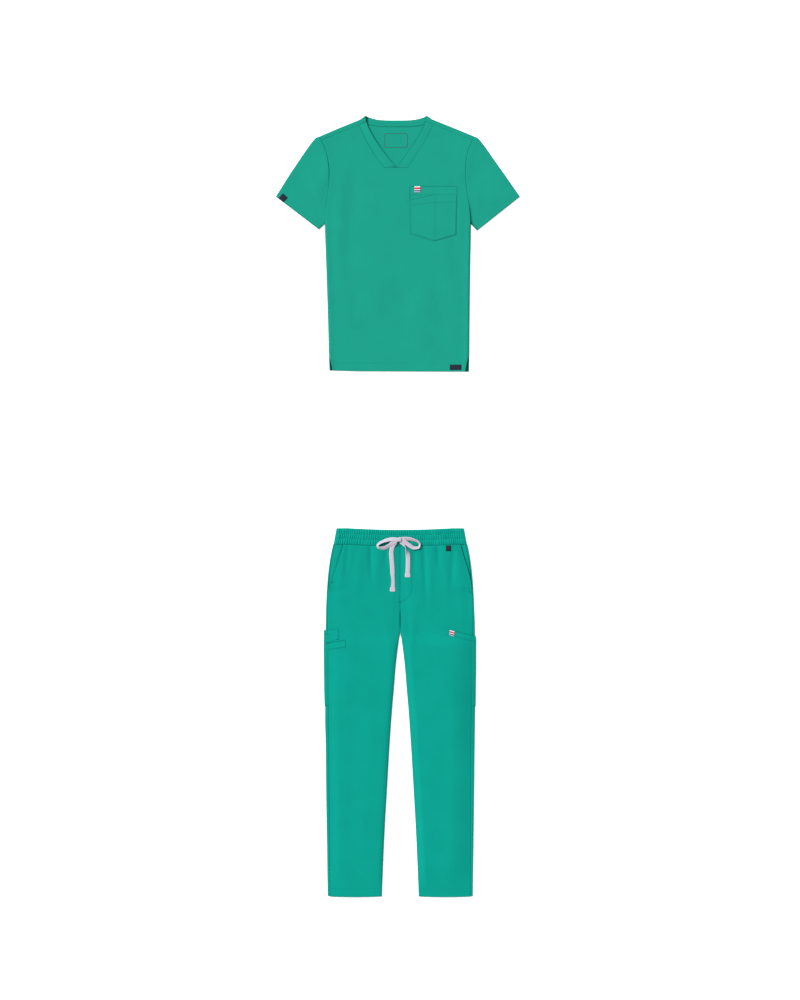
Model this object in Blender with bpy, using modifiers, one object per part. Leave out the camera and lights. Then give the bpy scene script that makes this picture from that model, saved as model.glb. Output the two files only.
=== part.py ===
"""A medical scrub set laid out flat: a short-sleeved V-neck top above drawstring trousers.

Metres, +Z up. The surface the cloth lies on is z = 0. +Y points to the neck and +X to the
wearer's left. Every piece is a sheet of middle-surface points given a wall by Solidify.
Drops are distances down from the top garment's neck point or from the trousers' waist edge.
"""

from collections import namedtuple
from math import cos, pi, radians, sin

import bmesh
import bpy
import numpy as np

Table = namedtuple("Table", "columns rows")

# Where the garments lie
NECK_Y = 1.1001
TOP_CENTRE_X = -0.0042
TOP_LEAN = 0.0098
WAIST_Y = -0.0609
TROUSERS_CENTRE_X = 0.0056

# Cloth layers: the lower one rests on the surface, the upper one lies on it
CLOTH = 0.0012
GAP = 0.0003
LAYER = CLOTH + GAP
LOWER = CLOTH / 2
UPPER = LOWER + LAYER
FOLD_RADIUS = LAYER / 2
FOLD_INSET = FOLD_RADIUS + CLOTH / 2
PATCH_CLEARANCE = 0.00025

# The top: half width from the shoulder's end down the armhole and the side to the hem
BODY = Table(
    ("drop", "half"),
    (
        (0.0575, 0.2190),
        (0.0666, 0.2132),
        (0.0933, 0.2019),
        (0.1244, 0.1951),
        (0.1554, 0.1929),
        (0.1920, 0.1943),
        (0.2287, 0.1991),
        (0.2654, 0.2036),
        (0.3020, 0.2056),
        (0.4092, 0.2030),
        (0.5445, 0.1999),
        (0.6621, 0.1978),
        (0.7171, 0.1971),
    ),
)
SHOULDER_DROP = 0.0575
UNDERARM_DROP = 0.3020
SHOULDER_SEAM_DROP = 0.0666
SLIT_TOP_DROP = 0.6621
HEM_DROP = 0.7171
SLIT_OPENING = 0.0093
FLARE_DROP = 0.0933
FLARE_POWER = 6

# The neck and shoulders, x from the set's middle
HIGH_NECK = Table(("side", "x", "drop"), ((-1, -0.0918, -0.0040), (1, 0.0808, -0.0036)))
SHOULDER_DIP = Table(("side", "x", "drop"), ((-1, -0.1075, 0.0074), (1, 0.0962, 0.0070)))
SEAM_NECK_END = Table(("side", "x", "drop"), ((-1, -0.0894, 0.0149), (1, 0.0773, 0.0124)))
BAND_SHOULDER_X = {-1: -0.1105, 1: 0.0985}
BAND_FOOT = Table(("side", "x", "drop"), ((-1, -0.0392, 0.1427), (1, 0.0276, 0.1427)))
V_POINT = (-0.0048, 0.1424)
# How far each neck band's edges bow away from a straight line, by the share of the way up
BAND_BOW = {
    -1: Table(
        ("up", "inner", "outer"),
        (
            (0.00, 0.0000, 0.0000),
            (0.15, 0.0033, 0.0026),
            (0.35, 0.0056, 0.0050),
            (0.60, 0.0068, 0.0055),
            (0.80, 0.0055, 0.0045),
            (0.92, 0.0030, 0.0024),
            (1.00, 0.0000, 0.0000),
        ),
    ),
    1: Table(
        ("up", "inner", "outer"),
        (
            (0.00, 0.0000, 0.0000),
            (0.15, 0.0000, 0.0021),
            (0.35, 0.0006, 0.0041),
            (0.60, 0.0034, 0.0055),
            (0.80, 0.0038, 0.0038),
            (0.92, 0.0022, 0.0020),
            (1.00, 0.0000, 0.0000),
        ),
    ),
}
BAND_STEPS = 9
BACK_NECK_HEAD = -0.0030
BACK_NECK_DROP = 0.0132
BACK_SEAM_DROP = 0.0282
BACK_SEAM_END_DROP = 0.0210
BACK_SEAM_INSET = 0.0034
BACK_NECK_CURVE = 3.6
BACK_BAND_SHARE = 0.988
SEAM_OFFSET = 0.00036
FRONT_SPACING = 0.13
BACK_SPACING = 0.16
FRONT_NARROWS_LATE = 6

# The sleeves: where each cuff starts and ends
CUFF = Table(
    ("side", "tip_x", "tip_drop", "under_x", "under_drop"),
    ((-1, -0.3453, 0.2249, -0.2234, 0.3177), (1, 0.3433, 0.2247, 0.2223, 0.3208)),
)
# How far each sleeve's folded edge bows outwards, by the share of the way from the armhole
SLEEVE_BOW = {
    -1: Table(
        ("along", "bow"),
        (
            (0.00, 0.0000),
            (0.03, 0.0056),
            (0.08, 0.0078),
            (0.18, 0.0083),
            (0.32, 0.0077),
            (0.50, 0.0061),
            (0.70, 0.0040),
            (0.88, 0.0017),
            (1.00, 0.0000),
        ),
    ),
    1: Table(
        ("along", "bow"),
        (
            (0.00, 0.0000),
            (0.03, 0.0049),
            (0.08, 0.0066),
            (0.18, 0.0067),
            (0.32, 0.0054),
            (0.50, 0.0039),
            (0.70, 0.0024),
            (0.88, 0.0009),
            (1.00, 0.0000),
        ),
    ),
}
SLEEVE_BOW_POWER = 3

# What is sewn on the top, x from the set's middle
POCKET_LEFT_X = (0.0316, 0.0338)
POCKET_RIGHT_X = (0.1672, 0.1641)
POCKET_TOP_DROP = 0.1954
POCKET_POINT_DROP = 0.3514
POCKET_POINT_SHARE = 0.52
POCKET_CORNER_DROP = (0.3305, 0.3330)
OVERLAY_DROP = (0.2341, 0.2194)
OVERLAY_INSET = 0.0014
LABEL_WALL = 0.0010
CHEST_TAB = (0.0457, 0.0629, 0.1949, 0.2121)
HEM_LABEL = (0.1455, 0.1777, 0.6988, 0.7132)
SLEEVE_TAG_CENTRE = (-0.3246, 0.2273)
SLEEVE_TAG_SIDE = 0.0160
SLEEVE_TAG_TURN = radians(-41)

# Soft ridges of the laid cloth: middle, reach along and across, tilt from upright, height
TOP_RIDGES = Table(
    ("x", "drop", "along", "across", "tilt", "height"),
    (
        (-0.135, 0.300, 0.130, 0.026, 4, 0.0018),
        (-0.075, 0.520, 0.120, 0.034, -8, 0.0012),
        (-0.010, 0.330, 0.090, 0.040, 14, 0.0010),
        (0.060, 0.560, 0.110, 0.030, 7, 0.0016),
        (0.135, 0.450, 0.120, 0.026, -5, 0.0014),
        (-0.125, 0.130, 0.060, 0.030, 24, 0.0010),
    ),
)
SLEEVE_RIDGE_HEIGHT = 0.0020
SLEEVE_CLEARANCE = 0.0009

# The trousers: half width outside and the inner edge, both from their middle line
LEG = Table(
    ("drop", "outer", "inner"),
    (
        (0.0440, 0.1881, 0.0000),
        (0.0660, 0.1936, 0.0000),
        (0.0885, 0.1977, 0.0000),
        (0.1308, 0.2029, 0.0000),
        (0.1788, 0.2064, 0.0000),
        (0.2295, 0.2087, 0.0000),
        (0.2888, 0.2107, 0.0000),
        (0.3085, 0.2109, 0.0032),
        (0.3423, 0.2112, 0.0079),
        (0.3846, 0.2115, 0.0127),
        (0.4551, 0.2115, 0.0186),
        (0.5003, 0.2112, 0.0226),
        (0.5961, 0.2099, 0.0295),
        (0.7089, 0.2087, 0.0362),
        (0.8499, 0.2070, 0.0443),
        (0.9909, 0.2049, 0.0505),
        (1.0372, 0.2043, 0.0522),
    ),
)
LEG_HEM_DROP = 1.0372
LEG_HEM_BOW = 0.0020
LEG_COLUMNS = 21

# The outer edge of each front: down the slant pocket mouth, then down the outseam
FRONT_EDGE = {
    1: Table(
        ("drop", "x"),
        ((0.0440, 0.1695), (0.1788, 0.2033), (0.3029, 0.2053), (0.5003, 0.2013), (1.0372, 0.1985)),
    ),
    -1: Table(
        ("drop", "x"),
        (
            (0.0440, 0.1589),
            (0.1506, 0.1937),
            (0.1788, 0.2019),
            (0.2831, 0.2036),
            (0.5003, 0.2016),
            (1.0372, 0.1963),
        ),
    ),
}
MOUTH_BOTTOM_DROP = 0.1788
HIP_WRAP = 0.0036
MOUTH_LIFT = 0.0019
MOUTH_LIFT_REACH = 0.0400
FACING_UNDER = 0.0120
FACING_TOP_DROP = 0.0475
FACING_END_DROP = {1: 0.1640, -1: 0.1700}
FACING_CROWN = 0.0005
FACING_NARROWS = (0.1580, 0.0200)

# The waistband and its gathers
BAND_TOP_HALF = 0.1797
BAND_FOOT_HALF = 0.1881
BAND_TOP_SAG = 0.0039
BAND_FOOT_DROP = (0.0440, 0.0491)
BAND_ROWS = Table(
    ("share", "puff", "wave"),
    (
        (0.00, 0.0004, 0.35),
        (0.14, 0.0017, 1.00),
        (0.31, 0.0006, 0.40),
        (0.46, 0.0016, 1.00),
        (0.63, 0.0006, 0.40),
        (0.80, 0.0017, 1.00),
        (1.00, 0.0005, 0.45),
    ),
)
GATHERS = 50
POINTS_PER_GATHER = 3
GATHER_HEIGHT = 0.0007
GATHER_DRIFT = 0.9
BAND_END_REACH = 0.0090
BEND_ANGLES = (pi / 4, pi / 2, 3 * pi / 4, pi)

# Fullness under the waistband, and the troughs in it: x at the top, lean per metre of drop
HIP_PUFF = 0.0030
LEG_PUFF = 0.0010
PUFF_FADES_BY_DROP = 0.2600
TROUGHS = Table(
    ("x", "lean", "start", "end", "width", "depth"),
    (
        (-0.144, -0.10, 0.050, 0.170, 0.0095, 0.55),
        (-0.084, 0.04, 0.045, 0.190, 0.0085, 0.90),
        (-0.041, 0.02, 0.045, 0.130, 0.0085, 0.60),
        (0.040, 0.02, 0.045, 0.150, 0.0085, 0.60),
        (0.066, 0.08, 0.045, 0.270, 0.0095, 0.85),
        (0.106, 0.05, 0.045, 0.120, 0.0085, 0.60),
        (0.152, -0.10, 0.075, 0.190, 0.0095, 0.70),
        (0.010, 0.12, 0.190, 0.420, 0.0090, 0.80),
    ),
)

# The cargo pockets: each row runs from its inner end to the outline and down the side
CARGO = {
    1: Table(
        ("inner", "inner_drop", "outer_drop", "bulge"),
        (
            (0.1348, 0.2826, 0.3037, 0.0028),
            (0.1280, 0.2984, 0.3195, 0.0034),
            (0.2013, 0.3500, 0.3500, 0.0030),
            (0.2013, 0.4000, 0.4000, 0.0026),
            (0.2013, 0.4500, 0.4500, 0.0019),
            (0.2013, 0.5003, 0.5003, 0.0016),
        ),
    ),
    -1: Table(
        ("inner", "inner_drop", "outer_drop", "bulge"),
        (
            (0.1557, 0.3130, 0.3254, 0.0044),
            (0.1535, 0.3347, 0.3423, 0.0046),
            (0.2013, 0.3560, 0.3560, 0.0046),
            (0.2013, 0.4000, 0.4000, 0.0040),
            (0.2013, 0.4500, 0.4500, 0.0028),
            (0.2013, 0.5003, 0.5003, 0.0018),
        ),
    ),
}
CARGO_BAND_COLUMNS = 6
SIDE_STRIP_X = 0.2013
PEN_POCKET = Table(
    ("inner", "inner_drop", "outer_drop", "bulge"),
    ((0.1746, 0.2812, 0.2888, 0.0036), (0.1727, 0.3114, 0.3230, 0.0044)),
)
CARGO_TAB = Table(
    ("x", "drop"), ((0.1402, 0.2862), (0.1543, 0.2902), (0.1525, 0.3040), (0.1382, 0.3000))
)
WAIST_TAG = (0.1297, 0.1430, 0.0505, 0.0640)

# The drawstring, a flat tape: middle line, tilt of its width from level, and its width's share
TAPE_WIDTH = 0.0112
TAPE_THICKNESS = 0.0010
TAPE_CROWN = 0.0005
TAPE_COLUMNS = ("x", "drop", "z", "tilt", "width")
LOOP_RIGHT = Table(
    TAPE_COLUMNS,
    (
        (-0.0149, 0.0290, 0.0102, 20, 0.90),
        (-0.0282, 0.0290, 0.0106, 30, 1.00),
        (-0.0443, 0.0330, 0.0112, 48, 1.00),
        (-0.0581, 0.0400, 0.0120, 66, 1.00),
        (-0.0643, 0.0479, 0.0122, 72, 1.00),
        (-0.0587, 0.0558, 0.0120, 64, 1.00),
        (-0.0457, 0.0536, 0.0106, 44, 1.00),
        (-0.0310, 0.0457, 0.0098, 20, 1.00),
        (-0.0205, 0.0380, 0.0104, 6, 0.80),
    ),
)
LOOP_LEFT = Table(
    TAPE_COLUMNS,
    (
        (0.0056, 0.0281, 0.0102, 20, 0.90),
        (0.0226, 0.0262, 0.0106, 28, 1.00),
        (0.0384, 0.0296, 0.0112, 46, 1.00),
        (0.0508, 0.0364, 0.0120, 68, 1.00),
        (0.0553, 0.0451, 0.0122, 74, 1.00),
        (0.0491, 0.0539, 0.0120, 64, 1.00),
        (0.0361, 0.0541, 0.0112, 44, 1.00),
        (0.0231, 0.0474, 0.0108, 22, 1.00),
        (0.0124, 0.0385, 0.0110, 6, 0.80),
    ),
)
TAIL_RIGHT = Table(
    TAPE_COLUMNS,
    (
        (-0.0149, 0.0423, 0.0074, 0, 0.80),
        (-0.0217, 0.0533, 0.0072, 0, 1.00),
        (-0.0248, 0.0674, 0.0070, 0, 1.00),
        (-0.0237, 0.0885, 0.0069, 0, 1.00),
        (-0.0214, 0.1111, 0.0066, 0, 1.00),
        (-0.0209, 0.1393, 0.0061, 0, 1.00),
        (-0.0211, 0.1630, 0.0058, 0, 1.00),
        (-0.0214, 0.1658, 0.0058, 0, 1.35),
        (-0.0217, 0.1788, 0.0057, 0, 1.35),
    ),
)
TAIL_LEFT = Table(
    TAPE_COLUMNS,
    (
        (0.0056, 0.0410, 0.0072, 0, 0.75),
        (0.0117, 0.0480, 0.0082, -20, 0.90),
        (0.0168, 0.0565, 0.0108, -56, 1.00),
        (0.0206, 0.0665, 0.0104, -44, 1.00),
        (0.0220, 0.0801, 0.0080, -12, 1.00),
        (0.0220, 0.0998, 0.0068, 0, 1.00),
        (0.0211, 0.1241, 0.0064, 0, 1.00),
        (0.0210, 0.1269, 0.0064, 0, 1.35),
        (0.0207, 0.1387, 0.0063, 0, 1.35),
    ),
)
KNOT_CENTRE = (-0.0048, 0.0310)
KNOT_SIZE = (0.0200, 0.0170, 0.0075)
KNOT_FLOOR = 0.0063

JADE = (0.016, 0.368, 0.265, 1.0)
TEAL = (0.005, 0.362, 0.280, 1.0)
NAVY = (0.012, 0.016, 0.050, 1.0)
WHITE = (0.80, 0.80, 0.82, 1.0)
LILAC = (0.58, 0.56, 0.64, 1.0)


def read(table, column, at):
    """A named column at the given first-column values, on a smooth curve that never overshoots."""
    rows = np.array(table.rows)
    x = rows[:, 0]
    y = rows[:, table.columns.index(column)]
    slope = np.diff(y) / np.diff(x)
    tangent = np.concatenate(([slope[0]], (slope[:-1] + slope[1:]) / 2, [slope[-1]]))
    turns = np.concatenate(([False], slope[:-1] * slope[1:] <= 0, [False]))
    tangent[turns] = 0.0
    limit = 3 * np.minimum(
        np.abs(np.concatenate((slope, slope[-1:]))), np.abs(np.concatenate((slope[:1], slope)))
    )
    tangent = np.clip(tangent, -limit, limit)
    at = np.clip(np.asarray(at, float), x[0], x[-1])
    i = np.clip(np.searchsorted(x, at, side="right") - 1, 0, len(x) - 2)
    step = x[i + 1] - x[i]
    t = (at - x[i]) / step
    start = (1 + 2 * t) * (1 - t) ** 2 * y[i] + t * (1 - t) ** 2 * step * tangent[i]
    end = t * t * (3 - 2 * t) * y[i + 1] - t * t * (1 - t) * step * tangent[i + 1]
    return start + end


def row_of(table, side):
    """The x and drop values of the table's row for that side."""
    return next(row[1:] for row in table.rows if row[0] == side)


def eased(share):
    """Smooth step from 0 at a share of 0 to 1 at a share of 1."""
    share = np.clip(share, 0.0, 1.0)
    return share * share * (3 - 2 * share)


def finish(name, colour, roughness=0.85):
    """A matt cloth material."""
    made = bpy.data.materials.new(name)
    made.use_nodes = True
    shader = made.node_tree.nodes["Principled BSDF"]
    shader.inputs["Base Color"].default_value = colour
    shader.inputs["Roughness"].default_value = roughness
    made.diffuse_color = colour
    return made


def sheet(name, points, colour, wall=CLOTH, keep=None, ring=False):
    """A wall round a grid of middle-surface points; keep tells which cells are cloth."""
    points = np.asarray(points, float)
    rows, columns = points.shape[:2]
    mesh = bmesh.new()
    corners = {}

    def corner(i, j):
        if (i, j) not in corners:
            corners[i, j] = mesh.verts.new(points[i, j])
        return corners[i, j]

    for i in range(rows - 1):
        for j in range(columns if ring else columns - 1):
            if keep is None or keep(i, j):
                after = (j + 1) % columns
                mesh.faces.new((corner(i, j), corner(i, after), corner(i + 1, after), corner(i + 1, j)))
    bmesh.ops.triangulate(mesh, faces=mesh.faces)
    data = bpy.data.meshes.new(name)
    mesh.to_mesh(data)
    mesh.free()
    return piece(name, data, colour, wall)


def piece(name, data, colour, wall=None):
    """An object in the set's collection, with its own material and, for a sheet, its wall."""
    made = bpy.data.objects.new(name, data)
    parts.objects.link(made)
    data.materials.append(finish(name, colour))
    data.shade_smooth()
    if wall:
        solid = made.modifiers.new("wall", "SOLIDIFY")
        solid.thickness = wall
        solid.offset = 0.0
        solid.use_even_offset = True
    return made


def turned(start, fold, end, lower, upper, steps=3, arc=4):
    """Middle-surface points from start on the lower layer, round the fold, to end on the upper one."""
    start, fold, end = (np.asarray(p, float) for p in (start, fold, end))
    out = (fold - start) / np.linalg.norm(fold - start)
    radius = (upper - lower) / 2
    centre = fold - out * (radius + CLOTH / 2)
    run = [(*(start + (centre - start) * k / steps), lower) for k in range(steps)]
    for k in range(arc + 1):
        angle = pi * k / arc
        run.append((*(centre + out * radius * sin(angle)), lower + radius * (1 - cos(angle))))
    run.append((*end, upper))
    return run


# --- the top ---------------------------------------------------------------------------


def top_centre(drop):
    """The top's middle line, which leans a little."""
    return TOP_CENTRE_X + TOP_LEAN * np.asarray(drop, float)


def body_x(u, drop):
    """x at a share u of the half width, -1 to 1; the shoulder's flare moves the outer places."""
    inner = read(BODY, "half", np.maximum(drop, FLARE_DROP))
    flare = read(BODY, "half", drop) - inner
    return top_centre(drop) + u * inner + np.sign(u) * np.abs(u) ** FLARE_POWER * flare


def top_point(x, drop, z):
    return (x, NECK_Y - drop, z)


def shoulder_end(side):
    """x and drop of the shoulder's outer end, where the sleeve's fold starts."""
    return float(body_x(side, SHOULDER_DROP)), SHOULDER_DROP


def seam_out(side):
    """x and drop of the forward shoulder seam's outer end."""
    return float(body_x(side, SHOULDER_SEAM_DROP)), SHOULDER_SEAM_DROP


def band_shoulder(side):
    """x and drop where the neck band's outer edge meets the forward shoulder seam."""
    neck_x, neck_drop = row_of(SEAM_NECK_END, side)
    out_x, out_drop = seam_out(side)
    share = (BAND_SHOULDER_X[side] - neck_x) / (out_x - neck_x)
    return BAND_SHOULDER_X[side], neck_drop + (out_drop - neck_drop) * share


def band_edge(side, edge, up):
    """x and drop along the outer or inner edge of a V-neck band, from its foot to the shoulder."""
    if edge == "outer":
        foot, head = row_of(BAND_FOOT, side), band_shoulder(side)
    else:
        foot, head = (V_POINT[0] + side * GAP / 2, V_POINT[1]), row_of(SEAM_NECK_END, side)
    foot = np.array(foot)
    way = np.array(head) + (0.0, SEAM_OFFSET) - foot
    outward = np.array([side * abs(way[1]), abs(way[0])]) / np.linalg.norm(way)
    return foot + way * up[:, None] + outward * read(BAND_BOW[side], edge, up)[:, None]


def top_height(x, drop):
    """Middle height of the top's upper layer: level, plus the ridges, which die out at seams."""
    x, drop = np.asarray(x, float), np.asarray(drop, float)
    u = (x - top_centre(drop)) / read(BODY, "half", drop)
    height = np.zeros(np.broadcast(x, drop).shape)
    for middle_x, middle_drop, along, across, tilt, rise in TOP_RIDGES.rows:
        turn = radians(tilt)
        side = (x - middle_x) * cos(turn) + (drop - middle_drop) * sin(turn)
        down = (drop - middle_drop) * cos(turn) - (x - middle_x) * sin(turn)
        height = height + rise * np.exp(-((side / across) ** 2) - (down / along) ** 2)
    edge = eased((1 - np.abs(u)) / 0.14)
    return UPPER + height * edge * eased((drop - SHOULDER_SEAM_DROP) / 0.05)


SIDE_DROPS = [row[0] for row in reversed(BODY.rows)]


def neckline(points):
    """The share of half width, x and drop of each point of an upper edge, left to right."""
    x, drop = np.array(points, float).T
    shares = (x - top_centre(drop)) / read(BODY, "half", np.maximum(drop, FLARE_DROP))
    return np.clip(shares, -1, 1), x, drop


def filled(shares, spacing):
    """The given shares with more between them, none further apart than spacing."""
    found = [shares[0]]
    for before, after in zip(shares, shares[1:]):
        count = max(1, int(np.ceil((after - before) / spacing)))
        found += [before + (after - before) * k / count for k in range(1, count + 1)]
    return np.array(found)


def panel_grid(edge, side_drops, height, spacing, narrowing=0.0):
    """Grid from the hem up to an edge. Side columns pass the side drops, others share them out."""
    shares, edge_x, edge_drop = neckline(edge)
    u = filled(shares, spacing)
    top_drop = np.interp(u, shares, edge_drop)
    top_x = np.interp(u, shares, edge_x)
    reach = (side_drops[0] - np.array(side_drops)) / (side_drops[0] - side_drops[-1])
    drop = side_drops[0] + reach[:, None] * (top_drop - side_drops[0])
    slit = eased((drop - SLIT_TOP_DROP) / (HEM_DROP - SLIT_TOP_DROP))
    x = body_x(u * np.ones_like(drop), drop) - u * slit * narrowing
    x = x + (top_x - body_x(u, top_drop)) * reach[:, None] ** FRONT_NARROWS_LATE
    return x, drop, height(x, drop) * np.ones_like(x), u


def make_top_front():
    edge = []
    for side, order in ((-1, 1), (1, -1)):
        shoulder_x, shoulder_drop = seam_out(side)
        line = band_edge(side, "outer", np.linspace(1, 0, BAND_STEPS))
        points = [(shoulder_x, shoulder_drop + SEAM_OFFSET)]
        points += [(x + side * GAP, drop) for x, drop in line[:-1]]
        points += [(line[-1][0] + side * GAP, line[-1][1] + SEAM_OFFSET)]
        edge += points[::order]
    side_drops = SIDE_DROPS[:-1]
    side_drops[-1] += SEAM_OFFSET
    x, drop, z, _ = panel_grid(edge, side_drops, top_height, FRONT_SPACING, SLIT_OPENING)
    sheet("top_front", np.stack([x, NECK_Y - drop, z], axis=2), JADE)


def make_top_back():
    """The back, which passes over each shoulder and ends at the forward seam."""
    back_seam = [(float(x), float(d)) for x, d in zip(*back_neck_seam(7))]
    edge = [shoulder_end(-1), row_of(SHOULDER_DIP, -1), row_of(HIGH_NECK, -1), *back_seam]
    edge += [row_of(HIGH_NECK, 1), row_of(SHOULDER_DIP, 1), shoulder_end(1)]
    x, drop, z, u = panel_grid(edge, SIDE_DROPS, lambda x, d: LOWER + 0 * x, BACK_SPACING)
    flat = np.stack([x, NECK_Y - drop, z], axis=2)
    shares = neckline(edge)[0]
    neck_first, neck_last = (shares[2] + shares[3]) / 2, (shares[-4] + shares[-3]) / 2
    columns = []
    for j, share in enumerate(u):
        side = -1 if share < 0 else 1
        fold = flat[-1, j, :2]
        neck_end, outer_end = row_of(HIGH_NECK, side), shoulder_end(side)
        along = np.array([outer_end[0] - neck_end[0], neck_end[1] - outer_end[1]])
        share_out = np.clip((fold[0] - neck_end[0]) / along[0], 0, 1)
        seam_neck = np.array(row_of(SEAM_NECK_END, side))
        seam = seam_neck + (np.array(seam_out(side)) - seam_neck) * share_out
        square = np.array([-along[1], along[0]]) / np.linalg.norm(along) * side
        armhole = (np.array(outer_end) - np.array(seam_out(side))) * (1, -1)
        armhole = armhole / np.linalg.norm(armhole)
        out = square + (armhole - square) * share_out**4
        out = out / np.linalg.norm(out)
        column = list(flat[:, j])
        if neck_first < share < neck_last:
            column += [flat[-1, j]] * 5
        else:
            inner = fold - out * 2 * FOLD_INSET
            end = (seam[0], NECK_Y - seam[1])
            column = column[:-1] + turned(inner, fold, end, LOWER, UPPER, steps=1)[1:]
        columns.append(column)
    points = np.transpose(np.array(columns), (1, 0, 2))
    last_flat = flat.shape[0] - 1
    wrapped = (u < neck_first) | (u > neck_last)

    def is_cloth(i, j):
        return i < last_flat or (wrapped[j] and wrapped[j + 1])

    sheet("top_back", points, JADE, keep=is_cloth)


def back_neck_seam(count):
    """x and drop along the seam under the back neck band, a shallow curve."""
    left = row_of(HIGH_NECK, -1)[0] + BACK_SEAM_INSET
    right = row_of(HIGH_NECK, 1)[0] - BACK_SEAM_INSET
    t = np.linspace(-1, 1, count)
    x = (left + right) / 2 + t * (right - left) / 2
    rise = BACK_SEAM_DROP - BACK_SEAM_END_DROP
    return x, BACK_SEAM_DROP - rise * np.abs(t) ** BACK_NECK_CURVE


def make_neck_bands():
    count = 9
    seam_x, seam_drop = back_neck_seam(count)
    left, right = row_of(HIGH_NECK, -1)[0] + 3 * GAP, row_of(HIGH_NECK, 1)[0] - 3 * GAP
    t = np.linspace(-1, 1, count)
    edge_x = (left + right) / 2 + t * (right - left) / 2
    edge_drop = BACK_NECK_HEAD + BACK_NECK_DROP * (1 - np.abs(t) ** BACK_NECK_CURVE)
    seam_x = (left + right) / 2 + (seam_x - (left + right) / 2) * BACK_BAND_SHARE
    rows = [
        [top_point(x, d, LOWER) for x, d in zip(seam_x, seam_drop - 1.4 * GAP)],
        [top_point(x, d, LOWER) for x, d in zip(edge_x, edge_drop)],
    ]
    sheet("neck_band_back", rows, JADE)
    for side, name in ((-1, "neck_band_right"), (1, "neck_band_left")):
        outer = band_edge(side, "outer", np.linspace(0, 1, BAND_STEPS))
        inner = band_edge(side, "inner", np.linspace(0, 1, BAND_STEPS))
        grid = []
        for across in np.linspace(0, 1, 4):
            line = outer + (inner - outer) * across
            grid.append([top_point(x, d, UPPER) for x, d in line])
        sheet(name, grid, JADE)


def make_sleeves():
    """Each sleeve is one piece folded along its top edge and closed by the underarm seam."""
    armhole = [d for d in SIDE_DROPS if d <= UNDERARM_DROP]
    for side, name in ((-1, "sleeve_right"), (1, "sleeve_left")):
        tip_x, tip_drop, under_x, under_drop = row_of(CUFF, side)
        start = np.array([[float(body_x(side, d)), NECK_Y - d] for d in armhole])
        run = np.linalg.norm(np.diff(start, axis=0), axis=1)
        share = np.concatenate(([0], np.cumsum(run))) / run.sum()
        cuff = np.array([[under_x, NECK_Y - under_drop], [tip_x, NECK_Y - tip_drop]])
        end = cuff[0] + (cuff[1] - cuff[0]) * share[:, None]
        along = end - start
        seam = np.gradient(start, axis=0)
        square = np.abs(along[:, 0] * seam[:, 1] - along[:, 1] * seam[:, 0])
        shift = (SLEEVE_CLEARANCE * np.linalg.norm(seam, axis=1) / square)[:, None]
        chord = along[-1] / np.linalg.norm(along[-1])
        outward = np.array([-chord[1], chord[0]]) * side
        weight = share[:, None] ** SLEEVE_BOW_POWER
        rings = []
        for s, bow in SLEEVE_BOW[side].rows:
            line = start + along * (shift + s * (1 - shift)) + outward * bow * weight
            rings.append(flattened(line, share, s, side))
        sheet(name, rings, JADE, ring=True)


def flattened(line, share, s, side):
    """A flattened ring: lower layer from the underarm to the fold, then the upper layer back."""
    first, last = line[0], line[-1]
    out_fold = (last - line[-2]) / np.linalg.norm(last - line[-2])
    out_under = (first - line[1]) / np.linalg.norm(first - line[1])
    body = line[1:-1]
    swell = SLEEVE_RIDGE_HEIGHT * sin(pi * s) ** 2
    ridge = swell * np.exp(-(((share[1:-1] - 0.45 - 0.25 * s) / 0.22) ** 2))
    lower = [(*p, LOWER) for p in body]
    upper = [(*p, UPPER + float(r)) for p, r in zip(body, ridge)]
    ends = []
    for point, out in ((last, out_fold), (first, out_under)):
        centre = point - out * FOLD_INSET
        angles = [pi * k / 4 for k in range(5)]
        ends.append(
            [
                (*(centre + out * FOLD_RADIUS * sin(a)), LOWER + FOLD_RADIUS * (1 - cos(a)))
                for a in angles
            ]
        )
    return lower + ends[0] + upper[::-1] + ends[1][::-1]


def make_chest_pocket():
    for name, level, inset in (("chest_pocket", 1, 0.0), ("chest_pocket_overlay", 2, OVERLAY_INSET)):
        across = np.linspace(0, 1, 9)
        up = np.linspace(0, 1, 8)
        corners = (0, POCKET_POINT_SHARE, 1)
        foot = np.interp(
            across, corners, (POCKET_CORNER_DROP[0], POCKET_POINT_DROP, POCKET_CORNER_DROP[1])
        )
        foot = foot - inset
        if level == 1:
            head = POCKET_TOP_DROP + 0 * across
        else:
            head = np.interp(across, corners, (*OVERLAY_DROP, OVERLAY_DROP[1]))
        drop = foot + up[:, None] * (head - foot)
        lift = (POCKET_CORNER_DROP[0] - drop) / (POCKET_CORNER_DROP[0] - POCKET_TOP_DROP)
        left = POCKET_LEFT_X[1] + (POCKET_LEFT_X[0] - POCKET_LEFT_X[1]) * lift + inset
        right = POCKET_RIGHT_X[1] + (POCKET_RIGHT_X[0] - POCKET_RIGHT_X[1]) * lift - inset
        x = left + across * (right - left)
        z = top_height(x, drop) + level * (LAYER + PATCH_CLEARANCE)
        sheet(name, np.stack([x, NECK_Y - drop, z], axis=2), JADE)


def label(name, corners, colour, place):
    """A small flat label, three points a side, on the layer whose middle height place returns."""
    first, second, third, fourth = (np.array(c, float) for c in corners)
    grid = []
    for down in (0, 0.5, 1):
        row = []
        for across in (0, 0.5, 1):
            head = first + (second - first) * across
            foot = fourth + (third - fourth) * across
            x, drop = head + (foot - head) * down
            row.append(place(x, drop))
        grid.append(row)
    return sheet(name, grid, colour, wall=LABEL_WALL)


def upright(left, right, head, foot):
    """The four corners of an upright label."""
    return ((left, head), (right, head), (right, foot), (left, foot))


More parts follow.
